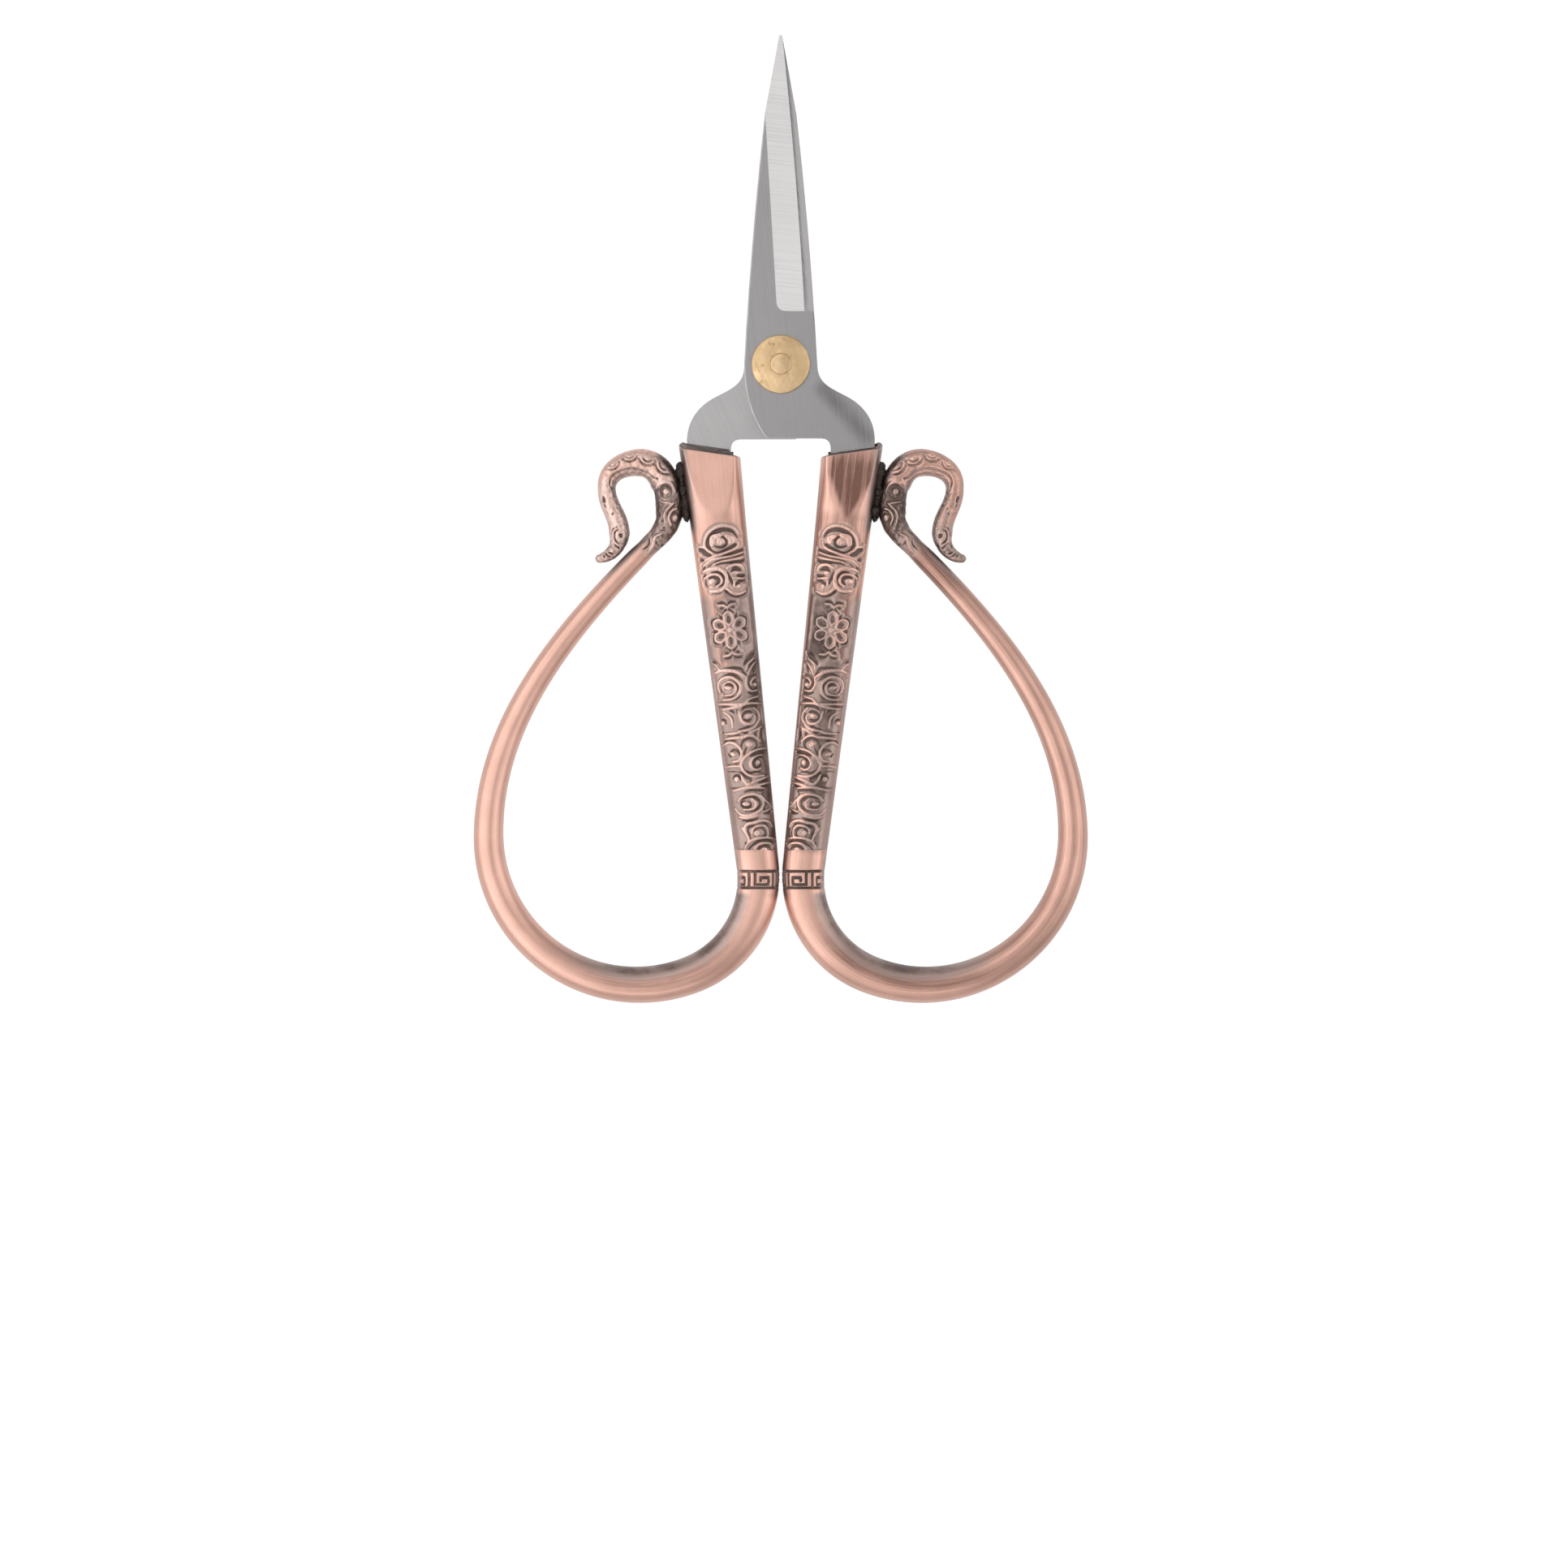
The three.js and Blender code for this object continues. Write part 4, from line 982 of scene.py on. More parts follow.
def bow_zone(rod, side):
    """The plain bow, dark on the inside of its bottom and where it nears the curl."""
    wear_and_shade = WEAR_AND_SHADE[side]
    angle = even_angles(BOW_SIDES)
    cosine = np.cos(angle)
    start, end = GRIP_END + BOW_PITCH, rod.neck - CURL_LEAD
    rows = np.linspace(start, end, round((end - start) / BOW_PITCH))
    along = np.repeat(rows[:, None], BOW_SIDES, 1)
    inner = smooth(-0.05, 0.85, cosine)
    outer = smooth(0.2, 0.9, -cosine)
    bottom = hump(*BOTTOM_RUN, 14, along)
    near_neck = smooth(rod.neck - NECK_SHADE, rod.neck - CURL_LEAD, along)
    patina = highest(0.74 * inner * bottom, 0.75 * outer * near_neck**2)
    middle = hump(0.1, 0.4, 0.45, cosine) * hump(*MIDDLE_RUN, 9, along)
    heel = hump(GRIP_END, HEEL_END, 6, along)
    # The bow's brown; on the right handle it is partly painted shade, for the lesser light that reaches it
    brown = wear_and_shade.bow + (BOTTOM_BROWN - wear_and_shade.bow) * bottom
    tarnish = brown + wear_and_shade.neck * near_neck + (0.25 + wear_and_shade.bow) * middle - 0.2 * heel
    turned = np.broadcast_to(angle, along.shape)
    return Zone(skin(rod, along, angle), along, turned, np.ones(along.shape), patina, tarnish)


def round_off_tail(grid, to_end):
    """Thickens the last of the tail and closes it with a round nose."""
    grid = grid + outward_normals(grid) * (TAIL_SWELL * smooth(*TAIL_SWELL_RUN, to_end))[..., None]
    middle = grid.mean(axis=1, keepdims=True)
    into_nose = np.clip(1 - to_end / TAIL_NOSE, 0, 0.99)
    return middle + (grid - middle) * np.sqrt(1 - into_nose**2)[..., None]


def curl_relief(grid, from_neck, lower, upper):
    """The ornament of a curl, on pitted ground that lies lower up to its shoulder."""
    relief = Relief(from_neck, spans_from_middle(grid))
    relief.lay(lower, 0.27 + 0.12 * rumple(grid, 1.0, 8))
    relief.cut(0.16 * upper * smooth(0.5, 1.4, rumple(grid, 0.9, 21)))
    relief.cut((0.1 + 0.1 * upper) * smooth(0.3, 1.5, rumple(grid, 0.5, 22)) * smooth(-1, 1, from_neck))
    bead_grooves, bead_ribs = crown_beads()
    relief.carve((*CURL_GROOVES, *bead_grooves), (*CURL_RIBS, *bead_ribs), 0.88 - 0.6 * lower)
    return relief


def curl_finish(grid, from_neck, cosine, relief, lower, upper, wear_and_shade):
    """How much dark skin is left on the curl, and how much brown."""
    dull = wear_and_shade.curl
    sunk = 1 - relief.height
    raised = smooth(0.75, 1.0, relief.height)
    standing = raised * relief.worked
    halo = 0.8 * soften(sunk, 4) * (1 - 0.85 * raised)
    crown = hump(*CROWN_RUN, 2, from_neck)
    cuts = highest(0.97 * sunk, halo) * (1 - 0.55 * crown)
    towards_bar = 0.97 * smooth(0.3, 0.85, cosine) * hump(*SHOULDER_RUN, 1.5, from_neck)
    inside = smooth(0.0, 0.8, -cosine) * highest(0.85 * lower, 0.3 * upper)
    hock = 0.65 * smooth(0.3, 0.8, -cosine) * hump(*HOCK_RUN, 2, from_neck)
    neck = 0.75 * smooth(0.2, 0.9, -cosine) * (1 - upper)
    film = upper * (0.04 + 0.5 * dull) * (1 - 0.5 * crown) * smooth(-0.6, 1.2, rumple(grid, 1.3, 33))
    tail = (0.26 + 0.7 * dull) * smooth(*TAIL_DULL, from_neck) * (1 - 0.6 * standing)
    skin_left = (0.48 + 0.6 * dull) * lower * (1 - 0.8 * standing)
    patina = highest(cuts, towards_bar, inside, hock, neck, skin_left, film, tail) + foot_of_ribs(relief)
    patina = patina + 0.14 * rumple(grid, 0.6, 34) * smooth(-1, 1, from_neck)
    neck_brown = wear_and_shade.bow + wear_and_shade.neck
    brown = neck_brown + (dull - neck_brown) * smooth(-2, 2, from_neck) + 0.1 * lower
    rubbed = highest(standing, 0.7 * upper * (1 - dull) * (1 - 0.5 * crown))
    return patina, brown * (1 - 0.4 * crown) - RUBBED * rubbed


def curl_zone(rod, side):
    """The curl, from a little before its neck to the end of its tail."""
    angle = even_angles(CURL_SIDES)
    start, end = rod.neck - CURL_LEAD + CURL_PITCH, rod.s[-1]
    rows = np.linspace(start, end, round((end - start) / CURL_PITCH))
    along = np.repeat(rows[:, None], CURL_SIDES, 1)
    grid = round_off_tail(skin(rod, along, angle), end - along)
    from_neck = along - rod.neck
    lower = smooth(-CURL_LEAD, 3.4, from_neck) * (1 - smooth(9.1, 10.1, from_neck))
    upper = smooth(9, 11, from_neck)
    relief = curl_relief(grid, from_neck, lower, upper)
    patina, tarnish = curl_finish(grid, from_neck, np.cos(angle), relief, lower, upper, WEAR_AND_SHADE[side])
    return Zone(grid, along, np.broadcast_to(angle, along.shape), relief.height, patina, tarnish)


def sink(zone, depth):
    """The zone's points, lowered by depth where its relief is 0 and left where it is 1."""
    return zone.grid - outward_normals(zone.grid) * (depth * (1 - zone.relief))[..., None]


SOCKET_DEPTHS = (0.0, 0.15, 1.5, TANG_LENGTH + SOCKET_GROW)
SOCKET_POWER = 7
MOUTH_HALF = (4.0, 2.5)


def mouth_rings(first_ring, sizes):
    """Rings that lead from the outer skin over the rim and the end face into the socket, outermost first."""
    angle = round_angles(GRIP_SIDES, SIDE_DENSITY)
    rim = sizes.rim_round / MM
    tang_height = (blade_bottom + blade_top) / 2
    edge_offset, edge_height = bar_offset(first_ring), first_ring[:, 2]

    def at(offset, height, depth):
        along = mouth_distance(offset, height) + depth
        flat = MOUTH + along[:, None] * down_bar + offset[:, None] * outward
        return np.concatenate((flat, height[:, None]), 1)

    def drawn_in(amount, depth):
        half_width, half_height = MOUTH_HALF
        return at(edge_offset * (1 - amount / half_width), edge_height * (1 - amount / half_height), depth)

    def slot(depth):
        width = TANG_WIDTH + (TANG_END_WIDTH - TANG_WIDTH) * depth / TANG_LENGTH
        half_width, half_height = width / 2 + SOCKET_GROW, BLADE_THICKNESS / 2 + SOCKET_GROW
        cosine, sine = np.cos(angle), np.sin(angle)
        power = 2 / SOCKET_POWER
        offset = half_width * np.sign(cosine) * np.abs(cosine)**power
        height = tang_height + half_height * np.sign(sine) * np.abs(sine)**power
        return at(offset, height, depth)

    rings = [drawn_in(0.3 * rim, 0.3 * rim), drawn_in(rim, 0.0)]
    rim_ring, socket_ring = rings[1], slot(0.0)
    for share in (0.25, 0.5, 0.75):
        ring = rim_ring + (socket_ring - rim_ring) * share
        rings.append(at(bar_offset(ring), ring[:, 2], 0.05 * rumple(ring, 1.3, 5)))
    return rings + [slot(depth) for depth in SOCKET_DEPTHS]


MAP_STRIP = 62.0
MAP_STRIPS = 4
MAP_SPILL = 1.5


class TubeMesh:
    """Collects rings of one closed tube, stitches them and lays them out on a map in strips."""

    def __init__(self):
        self.points, self.values, self.starts, self.counts, self.map_s = [], [], [], [], []
        self.quads, self.triangles = [], []
        self.total = 0

    def ring(self, points, map_s, values):
        """Adds a ring and stitches it to the one before."""
        count = len(points)
        here = self.total + np.arange(count)
        if self.counts and self.counts[-1] == count:
            before = self.starts[-1] + np.arange(count)
            self.quads.append(np.stack((before, np.roll(before, -1), np.roll(here, -1), here), 1))
        elif self.counts:
            self.zip_up(self.starts[-1], self.counts[-1], self.total, count)
        self.starts.append(self.total)
        self.counts.append(count)
        self.points.append(points)
        self.values.append(values)
        self.map_s.append(np.broadcast_to(map_s, (count,)))
        self.total += count

    def zip_up(self, low, low_count, high, high_count):
        """Joins two rings that have unlike numbers of points by triangles."""
        i = j = 0
        while i < low_count or j < high_count:
            if j == high_count or (i < low_count and (i + 1) / low_count <= (j + 1) / high_count):
                corner = (low + i, low + (i + 1) % low_count, high + j % high_count)
                i += 1
            else:
                corner = (low + i % low_count, high + (j + 1) % high_count, high + j)
                j += 1
            self.triangles.append(corner)

    def closed_faces(self):
        """All the faces, with a cap at each end."""
        faces = np.concatenate(self.quads).tolist() + [list(corner) for corner in self.triangles]
        first, last = self.starts[0], self.starts[-1]
        faces.append(list(range(first + self.counts[0] - 1, first - 1, -1)))
        faces.append(list(range(last, last + self.counts[-1])))
        return faces

    def lay_out(self, mesh):
        """Unrolls the tube into strips, one above the other."""
        map_s = np.concatenate(self.map_s)
        share = np.concatenate([np.arange(count) / count for count in self.counts])
        corner = np.empty(len(mesh.loops), np.int32)
        mesh.loops.foreach_get("vertex_index", corner)
        starts = np.empty(len(mesh.polygons), np.int32)
        mesh.polygons.foreach_get("loop_start", starts)
        face = np.repeat(np.arange(len(starts)), np.diff(np.append(starts, len(corner))))
        high = np.maximum.reduceat(share[corner], starts)[face]
        low_s = np.minimum.reduceat(map_s[corner], starts)[face]
        around = np.where((high > 0.5) & (share[corner] == 0), 1.0, share[corner])
        strip = np.clip(np.floor(low_s / MAP_STRIP), 0, MAP_STRIPS - 1)
        u = 0.01 + 0.97 * (map_s[corner] - strip * MAP_STRIP) / (MAP_STRIP + MAP_SPILL)
        v = (strip + 0.03 + 0.94 * around) / MAP_STRIPS
        layer = mesh.uv_layers.new(name=BAKE_MAP)
        layer.uv.foreach_set("vector", np.stack((u, v), 1).astype(np.float32).ravel())


MOUTH_MAP_START = 14.0
MOUTH_MAP_STEP = 1.2
LIE_RADIUS = 2.2


def build_handle(side, material, sizes):
    """One cast handle as a closed tube, with its dark skin, brown and lie kept as values of its points."""
    rod = rod_line()
    zones = (grip_zone(rod, sizes, side), bow_zone(rod, side), curl_zone(rod, side))
    tube = TubeMesh()
    for number, ring in enumerate(reversed(mouth_rings(zones[0].grid[0], sizes))):
        map_s = rod.s[-1] + MOUTH_MAP_START - number * MOUTH_MAP_STEP
        dark = 0.35 + 0.6 * smooth(-3.6, -3.0, bar_offset(ring))
        none = np.zeros(len(ring))
        tube.ring(ring, map_s, np.stack((dark, none, none, none), 1))
    for zone in zones:
        grid = sink(zone, sizes.relief_depth / MM)
        rows = zip(grid, zone.along, zone.round, zone.patina, zone.tarnish)
        for ring, along, turned, patina, tarnish in rows:
            tube.ring(ring, np.maximum(along, 0), np.stack((patina, tarnish, along, turned), 1))
    points = to_row(np.concatenate(tube.points), side == "left")
    piece = new_piece(f"{side}_cast_handle", points, tube.closed_faces(), [material])
    patina, tarnish, along, turned = np.concatenate(tube.values).T
    give_values(piece.data, "patina", patina)
    give_values(piece.data, "tarnish", tarnish)
    lie = np.stack((along, np.cos(turned) * LIE_RADIUS, np.sin(turned) * LIE_RADIUS), 1)
    give_values(piece.data, "lie", lie)
    tube.lay_out(piece.data)
    shade_smooth(piece.data)
    return piece


# Blades

def curve_points(control, steps):
    """A Bezier curve through the first and last of its control points."""
    t = np.linspace(0, 1, steps + 1)[:, None]
    degree = len(control) - 1
    return sum(math.comb(degree, i) * t**i * (1 - t)**(degree - i) * np.asarray(point, float)
               for i, point in enumerate(control))


def bowed(start, end, belly):
    """Control points of a line that swells sideways by belly in the middle."""
    middle = (np.asarray(start) + np.asarray(end)) / 2 + np.array((2 * belly, 0))
    return (start, middle, end)


edge_heel = np.array((RICASSO_HALF_WIDTH - EDGE_SETBACK, HEEL_REACH))
edge_tip = np.array((TIP_WIDTH / 2, TIP_REACH))
kink = np.array((-KINK_OFFSET, KINK_REACH))
spine_foot = np.array((-RICASSO_HALF_WIDTH, 0.0))
bridge_start = np.array((-BRIDGE_START, -BRIDGE_DROP))
heel_corner = np.array((-RICASSO_HALF_WIDTH, -BRIDGE_DROP * HEEL_FULLNESS))
CURVE_STEPS = 28


def blade_outline():
    """The blank, counter-clockwise from the point: spine, heel, bridge, tang, shank, edge."""
    tang_inner, tang_inner_end = on_bar(0, -TANG_WIDTH / 2), on_bar(TANG_LENGTH, -TANG_END_WIDTH / 2)
    tang_outer = on_bar(0, TANG_WIDTH / 2)
    rise = (-BRIDGE_DROP - tang_inner[1]) / (tang_inner_end[1] - tang_inner[1])
    crotch = tang_inner + (tang_inner_end - tang_inner) * rise
    crotch_way = (tang_inner_end - crotch) / np.linalg.norm(tang_inner_end - crotch)
    crest = np.array(CREST)
    slope = math.radians(CREST_SLOPE)
    downhill = np.array((math.cos(slope), -math.sin(slope)))
    ricasso_side = RICASSO_HALF_WIDTH + (KINK_OFFSET - RICASSO_HALF_WIDTH) * HEEL_REACH / KINK_REACH
    ricasso = np.array((RICASSO_HALF_WIDTH, 0.0))
    parts = (
        ((-edge_tip[0], edge_tip[1]), kink),
        bowed(kink, spine_foot, -SPINE_BELLY),
        (spine_foot, heel_corner, bridge_start),
        (bridge_start, crotch - np.array((CROTCH_ROUND, 0))),
        (crotch - np.array((CROTCH_ROUND, 0)), crotch, crotch + crotch_way * CROTCH_ROUND),
        (crotch + crotch_way * CROTCH_ROUND, tang_inner_end),
        (tang_inner_end, on_bar(TANG_LENGTH, TANG_END_WIDTH / 2)),
        (on_bar(TANG_LENGTH, TANG_END_WIDTH / 2), tang_outer),
        (tang_outer, tang_outer - down_bar * SHANK_PULL, crest + downhill * CREST_PULL, crest),
        (crest, crest - downhill * CREST_PULL, ricasso - np.array((0, NECK_HOLLOW)), ricasso),
        (ricasso, (ricasso_side, HEEL_REACH)),
        ((ricasso_side, HEEL_REACH), edge_heel),
        bowed(edge_heel, edge_tip, EDGE_BELLY),
        (edge_tip, (-edge_tip[0], edge_tip[1])),
    )
    return np.concatenate([curve_points(part, CURVE_STEPS if len(part) > 2 else 1)[:-1] for part in parts])


def prism(outline, bottom, top):
    """A mesh between two heights over a flat outline; bottom may give a height for each point."""
    outline = np.asarray(outline, float)
    count = len(outline)
    low = np.column_stack((outline, np.broadcast_to(bottom, count)))
    high = np.column_stack((outline, np.broadcast_to(top, count)))
    ring = np.arange(count)
    after = np.roll(ring, -1)
    faces = [list(ring[::-1]), list(ring + count)]
    faces += np.stack((ring, after, after + count, ring + count), 1).tolist()
    mesh = bpy.data.meshes.new("tool")
    mesh.from_pydata(np.concatenate((low, high)).tolist(), [], [[int(i) for i in face] for face in faces])
    return mesh


grind_inner = np.array((edge_heel[0] - GRIND_WIDTH, HEEL_REACH))


def grind_height(points):
    """Height of the ground face, which falls from the grind line to the cutting edge."""
    edge_height = blade_bottom + EDGE_THICKNESS
    corners = np.array(((*edge_heel, edge_height), (*kink, blade_top), (*grind_inner, blade_top)))
    normal = np.cross(corners[1] - corners[0], corners[2] - corners[0])
    return corners[0, 2] - ((points - corners[0, :2]) @ normal[:2]) / normal[2]


CUT_CLEARANCE = 1


def grind_tool():
    """The block that the grinding takes off, with the wheel's round corner at the heel."""
    way = (kink - grind_inner) / np.linalg.norm(kink - grind_inner)
    beyond = grind_inner + way * TIP_REACH
    right = RICASSO_HALF_WIDTH + CUT_CLEARANCE
    corner_end = grind_inner + np.array((GRIND_CORNER, 0))
    corner = curve_points((grind_inner + way * GRIND_CORNER, grind_inner, corner_end), 12)
    path = np.concatenate((corner, ((right, HEEL_REACH), (right, beyond[1]), beyond)))
    return prism(path, grind_height(path), blade_top + CUT_CLEARANCE)


def cut(piece, tools):
    """Takes tools out of a piece, and leaves its mesh as plain faces."""
    for tool in tools:
        cutter = bpy.data.objects.new("cutter", tool)
        bpy.context.scene.collection.objects.link(cutter)
        step = piece.modifiers.new("cut", "BOOLEAN")
        step.operation, step.solver, step.object = "DIFFERENCE", "EXACT", cutter
        evaluated = piece.evaluated_get(bpy.context.evaluated_depsgraph_get())
        mesh = bpy.data.meshes.new_from_object(evaluated)
        piece.modifiers.clear()
        piece.data = mesh
        bpy.data.objects.remove(cutter)


CHAMFER_FALL = 0.5
BACK_STEPS = 80
BACK_REACH = 0.3


def chamfer_spine(mesh, width):
    """Bevels the outer edge along the spine and the round of the heel."""
    shape = bmesh.new()
    shape.from_mesh(mesh)
    spine = curve_points(bowed(kink, spine_foot, -SPINE_BELLY), BACK_STEPS)
    heel = curve_points((spine_foot, heel_corner, bridge_start), BACK_STEPS)
    back = np.concatenate((spine, heel))

    def on_back(vertex):
        gap = np.min(np.linalg.norm(back - np.array(vertex.co[:2]), axis=1))
        return gap < BACK_REACH and abs(vertex.co.z - blade_top) < TINY

    edges = [edge for edge in shape.edges if all(on_back(vertex) for vertex in edge.verts)]
    bmesh.ops.bevel(
        shape, geom=edges, offset=width, offset_type="OFFSET", segments=1, affect="EDGES", profile=0.5)
    for vertex in shape.verts:
        if abs(vertex.co.z - (blade_top - width)) < TINY:
            vertex.co.z = blade_top - width * CHAMFER_FALL
    shape.to_mesh(mesh)
    shape.free()


HOLE_SIDES = 64
GROUND_MATCH = 0.9999
CORNER_ANGLE = 14


def build_blade(name, turned_over, materials, sizes):
    """One blade, cut from its blank, with a material for the flats and one for the ground face."""
    piece = add_object(name, prism(blade_outline(), blade_bottom, blade_top), [])
    spin = np.linspace(0, 2 * math.pi, HOLE_SIDES, endpoint=False)
    hole = (RIVET_RADIUS + RIVET_CLEARANCE) * np.stack((np.cos(spin), np.sin(spin)), 1)
    cut(piece, (grind_tool(), prism(hole, blade_bottom - CUT_CLEARANCE, blade_top + CUT_CLEARANCE)))
    mesh = piece.data
    chamfer_spine(mesh, sizes.spine_chamfer / MM)
    for material in materials:
        mesh.materials.append(material)
    slant = grind_height(np.array(((0.0, 0.0), (1.0, 0.0), (0.0, 1.0))))
    ground = Vector((slant[0] - slant[1], slant[0] - slant[2], 1)).normalized()
    for polygon in mesh.polygons:
        polygon.material_index = int(polygon.normal.dot(ground) > GROUND_MATCH)
    flat = np.empty(len(mesh.vertices) * 3)
    mesh.vertices.foreach_get("co", flat)
    mesh.vertices.foreach_set("co", to_row(flat.reshape(-1, 3), turned_over).ravel())
    mesh.update()
    corners = piece.modifiers.new("soft corners", "BEVEL")
    corners.width, corners.segments = sizes.blade_round, 2
    corners.limit_method, corners.angle_limit = "ANGLE", math.radians(CORNER_ANGLE)
    corners.harden_normals = True
    shade_smooth(mesh)
    return piece


# Pivot

def tube_faces(grid):
    """Faces of a closed tube given as rows of rings."""
    tube = TubeMesh()
    for ring in grid:
        tube.ring(ring, 0.0, ring[:, :1])
    return tube.closed_faces()


def spun(profile, sides, uneven):
    """Points and faces of a turned piece, from radius and height upwards, with uneven(points) added."""
    profile = np.asarray(profile, float)
    spin = even_angles(sides)
    radius, height = profile[:, :1], np.repeat(profile[:, 1:], sides, 1)
    grid = np.stack((radius * np.cos(spin), radius * np.sin(spin), height), -1)
    grid = grid + uneven(grid)
    return grid.reshape(-1, 3), tube_faces(grid)


WASHER_RINGS, WASHER_SIDES, RIVET_SIDES = 34, 120, 72
WASHER_BREAK = 0.06
WASHER_BORE_DEPTH = 0.3


def washer_profile():
    bore = RIVET_RADIUS + RIVET_CLEARANCE
    share = np.linspace(0, 1, WASHER_RINGS)
    radius = WASHER_RADIUS + (bore - WASHER_RADIUS) * share
    height = WASHER_RIM + (WASHER_CROWN - WASHER_RIM) * (1 - (1 - share)**2)
    foot, side_top = (WASHER_RADIUS - WASHER_BREAK, 0.0), (WASHER_RADIUS, WASHER_RIM - 2 * WASHER_BREAK)
    rim = np.array((foot, (WASHER_RADIUS, WASHER_BREAK), side_top))
    height = height - 0.1 * np.exp(-(WASHER_RADIUS - radius) / 0.07)
    radius = radius - 0.03 * np.exp(-(WASHER_RADIUS - radius) / 0.05)
    dome = np.column_stack((radius, height))
    return np.concatenate((((bore, 0.0),), rim, dome, ((bore, WASHER_BORE_DEPTH),)))


def build_washer(name, turned_over, material, sizes):
    """A domed washer with hammer marks, a nick in its rim and a crease across it."""
    depth = sizes.hammer_depth / MM
    seed = 23 if turned_over else 11

    def marks(points):
        top = smooth(0.2, 0.3, points[..., 2])
        away = np.hypot(points[..., 0], points[..., 1])
        bearing = np.degrees(np.arctan2(points[..., 1], points[..., 0]))
        blows = depth * (1.2 * rumple(points, 2.2, seed) + 0.7 * rumple(points, 0.8, seed + 1))
        nick = 0.14 * np.exp(-((bearing + 157) / 6)**2) * smooth(3.1, 3.75, away)
        crease = 0.02 * np.exp(-((bearing + 2) / 3)**2) * smooth(1.6, 2.0, away)
        drop = np.minimum(blows - 1.6 * depth, 0) - nick - crease
        return np.stack((0 * away, 0 * away, top * drop), -1)

    points, faces = spun(washer_profile(), WASHER_SIDES, marks)
    points = points + (0, 0, washer_seat)
    piece = new_piece(name, to_row(points, turned_over), faces, [material])
    shade_smooth(piece.data)
    return piece


def build_rivet(name, material, sizes):
    """The pin with a low head at each end, a little out of round from the hammer."""
    depth = sizes.hammer_depth / MM
    swing = np.linspace(0, math.pi / 2, 10)
    edge = RIVET_HEAD_RADIUS - RIVET_HEAD_EDGE
    rim = np.column_stack((edge + RIVET_HEAD_EDGE * np.cos(swing), RIVET_HEAD_EDGE * (np.sin(swing) - 1)))
    face = np.linspace(edge, 0.02, 26)[1:]
    crown = np.column_stack((face, RIVET_HEAD_CROWN * (1 - (face / edge)**2)))
    top = head_seat + RIVET_HEAD_RISE - RIVET_HEAD_CROWN
    seat = ((RIVET_RADIUS, head_seat), (RIVET_HEAD_RADIUS, head_seat))
    head = np.concatenate((seat, np.concatenate((rim, crown)) + (0, top)))
    profile = np.concatenate(((head * (1, -1))[::-1], head))

    def marks(points):
        on_head = smooth(head_seat + 0.05, head_seat + 0.15, np.abs(points[..., 2]))
        blows = 0.5 * depth * rumple(points, 1.4, 31)
        swell = 1 + 0.03 * on_head * rumple(points, 3.0, 17)
        upright = np.sign(points[..., 2]) * on_head * blows
        return np.stack((points[..., 0] * (swell - 1), points[..., 1] * (swell - 1), upright), -1)

    points, faces = spun(profile, RIVET_SIDES, marks)
    piece = new_piece(name, to_row(points, False), faces, [material])
    shade_smooth(piece.data)
    return piece


# Bonds

BEAD_ROWS, BEAD_SIDES = 120, 48


def build_solder(side, material):
    """A lumpy bead laid in the groove between the curl and the bar."""
    share = np.linspace(0, 1, BEAD_ROWS)
    distance = SOLDER_DROP - BEAD_SPILL + (SOLDER_LENGTH + 2 * BEAD_SPILL) * (share - 0.5)
    taper = np.sqrt(np.clip(1 - np.abs(2 * share - 1)**6, 0.0004, 1))
    offset = bar_half_width(SOLDER_DROP) + CURL_GAP / 2
    spin = even_angles(BEAD_SIDES)
    lumps = np.cos(2 * math.pi * (BEAD_LUMPS * share - 0.45))
    wide = (0.56 + 0.14 * lumps + 0.34 * (1 - share)) * taper
    tall = (1.25 + 0.3 * lumps) * taper
    middle = MOUTH + distance[:, None] * down_bar + offset * outward
    grid = np.stack((
        middle[:, :1] + outward[0] * wide[:, None] * np.cos(spin),
        middle[:, 1:] + outward[1] * wide[:, None] * np.cos(spin),
        tall[:, None] * np.sin(spin)), -1)
    grain = 0.13 * rumple(grid, 1.6, 3) + 0.06 * rumple(grid, 0.7, 4)
    grid = grid + outward_normals(grid) * (grain * taper[:, None])[..., None]
    points = to_row(grid.reshape(-1, 3), side == "left")
    piece = new_piece(f"{side}_solder_bead", points, tube_faces(grid), [material])
    shade_smooth(piece.data)
    return piece


# Finishes

def add_node(tree, kind, **settings):
    made = tree.nodes.new(kind)
    for name, value in settings.items():
        if name.startswith("in_"):
            made.inputs[name[3:].replace("_", " ")].default_value = value
        else:
            setattr(made, name, value)
    return made


def wire(tree, source, target):
    tree.links.new(source, target)


def math_node(tree, operation, first, second=None, third=None):
    made = tree.nodes.new("ShaderNodeMath")
    made.operation = operation
    for socket, value in zip(made.inputs, (first, second, third)):
        if value is None:
            continue
        if isinstance(value, (int, float)):
            socket.default_value = value
        else:
            tree.links.new(value, socket)
    return made.outputs[0]


def mix_colour(tree, share, first, second):
    made = tree.nodes.new("ShaderNodeMix")
    made.data_type = "RGBA"
    for name, value in (("Factor", share), ("A", first), ("B", second)):
        socket = next(s for s in made.inputs if s.name == name and s.enabled)
        if isinstance(value, tuple):
            socket.default_value = (*value, 1.0)
        elif isinstance(value, (int, float)):
            socket.default_value = value
        else:
            tree.links.new(value, socket)
    return next(s for s in made.outputs if s.enabled)


def ramp(tree, value, low, high, to_low=0.0, to_high=1.0):
    made = tree.nodes.new("ShaderNodeMapRange")
    made.interpolation_type = "SMOOTHSTEP"
    tree.links.new(value, made.inputs["Value"])
    for name, number in (("From Min", low), ("From Max", high), ("To Min", to_low), ("To Max", to_high)):
        made.inputs[name].default_value = number
    return made.outputs["Result"]


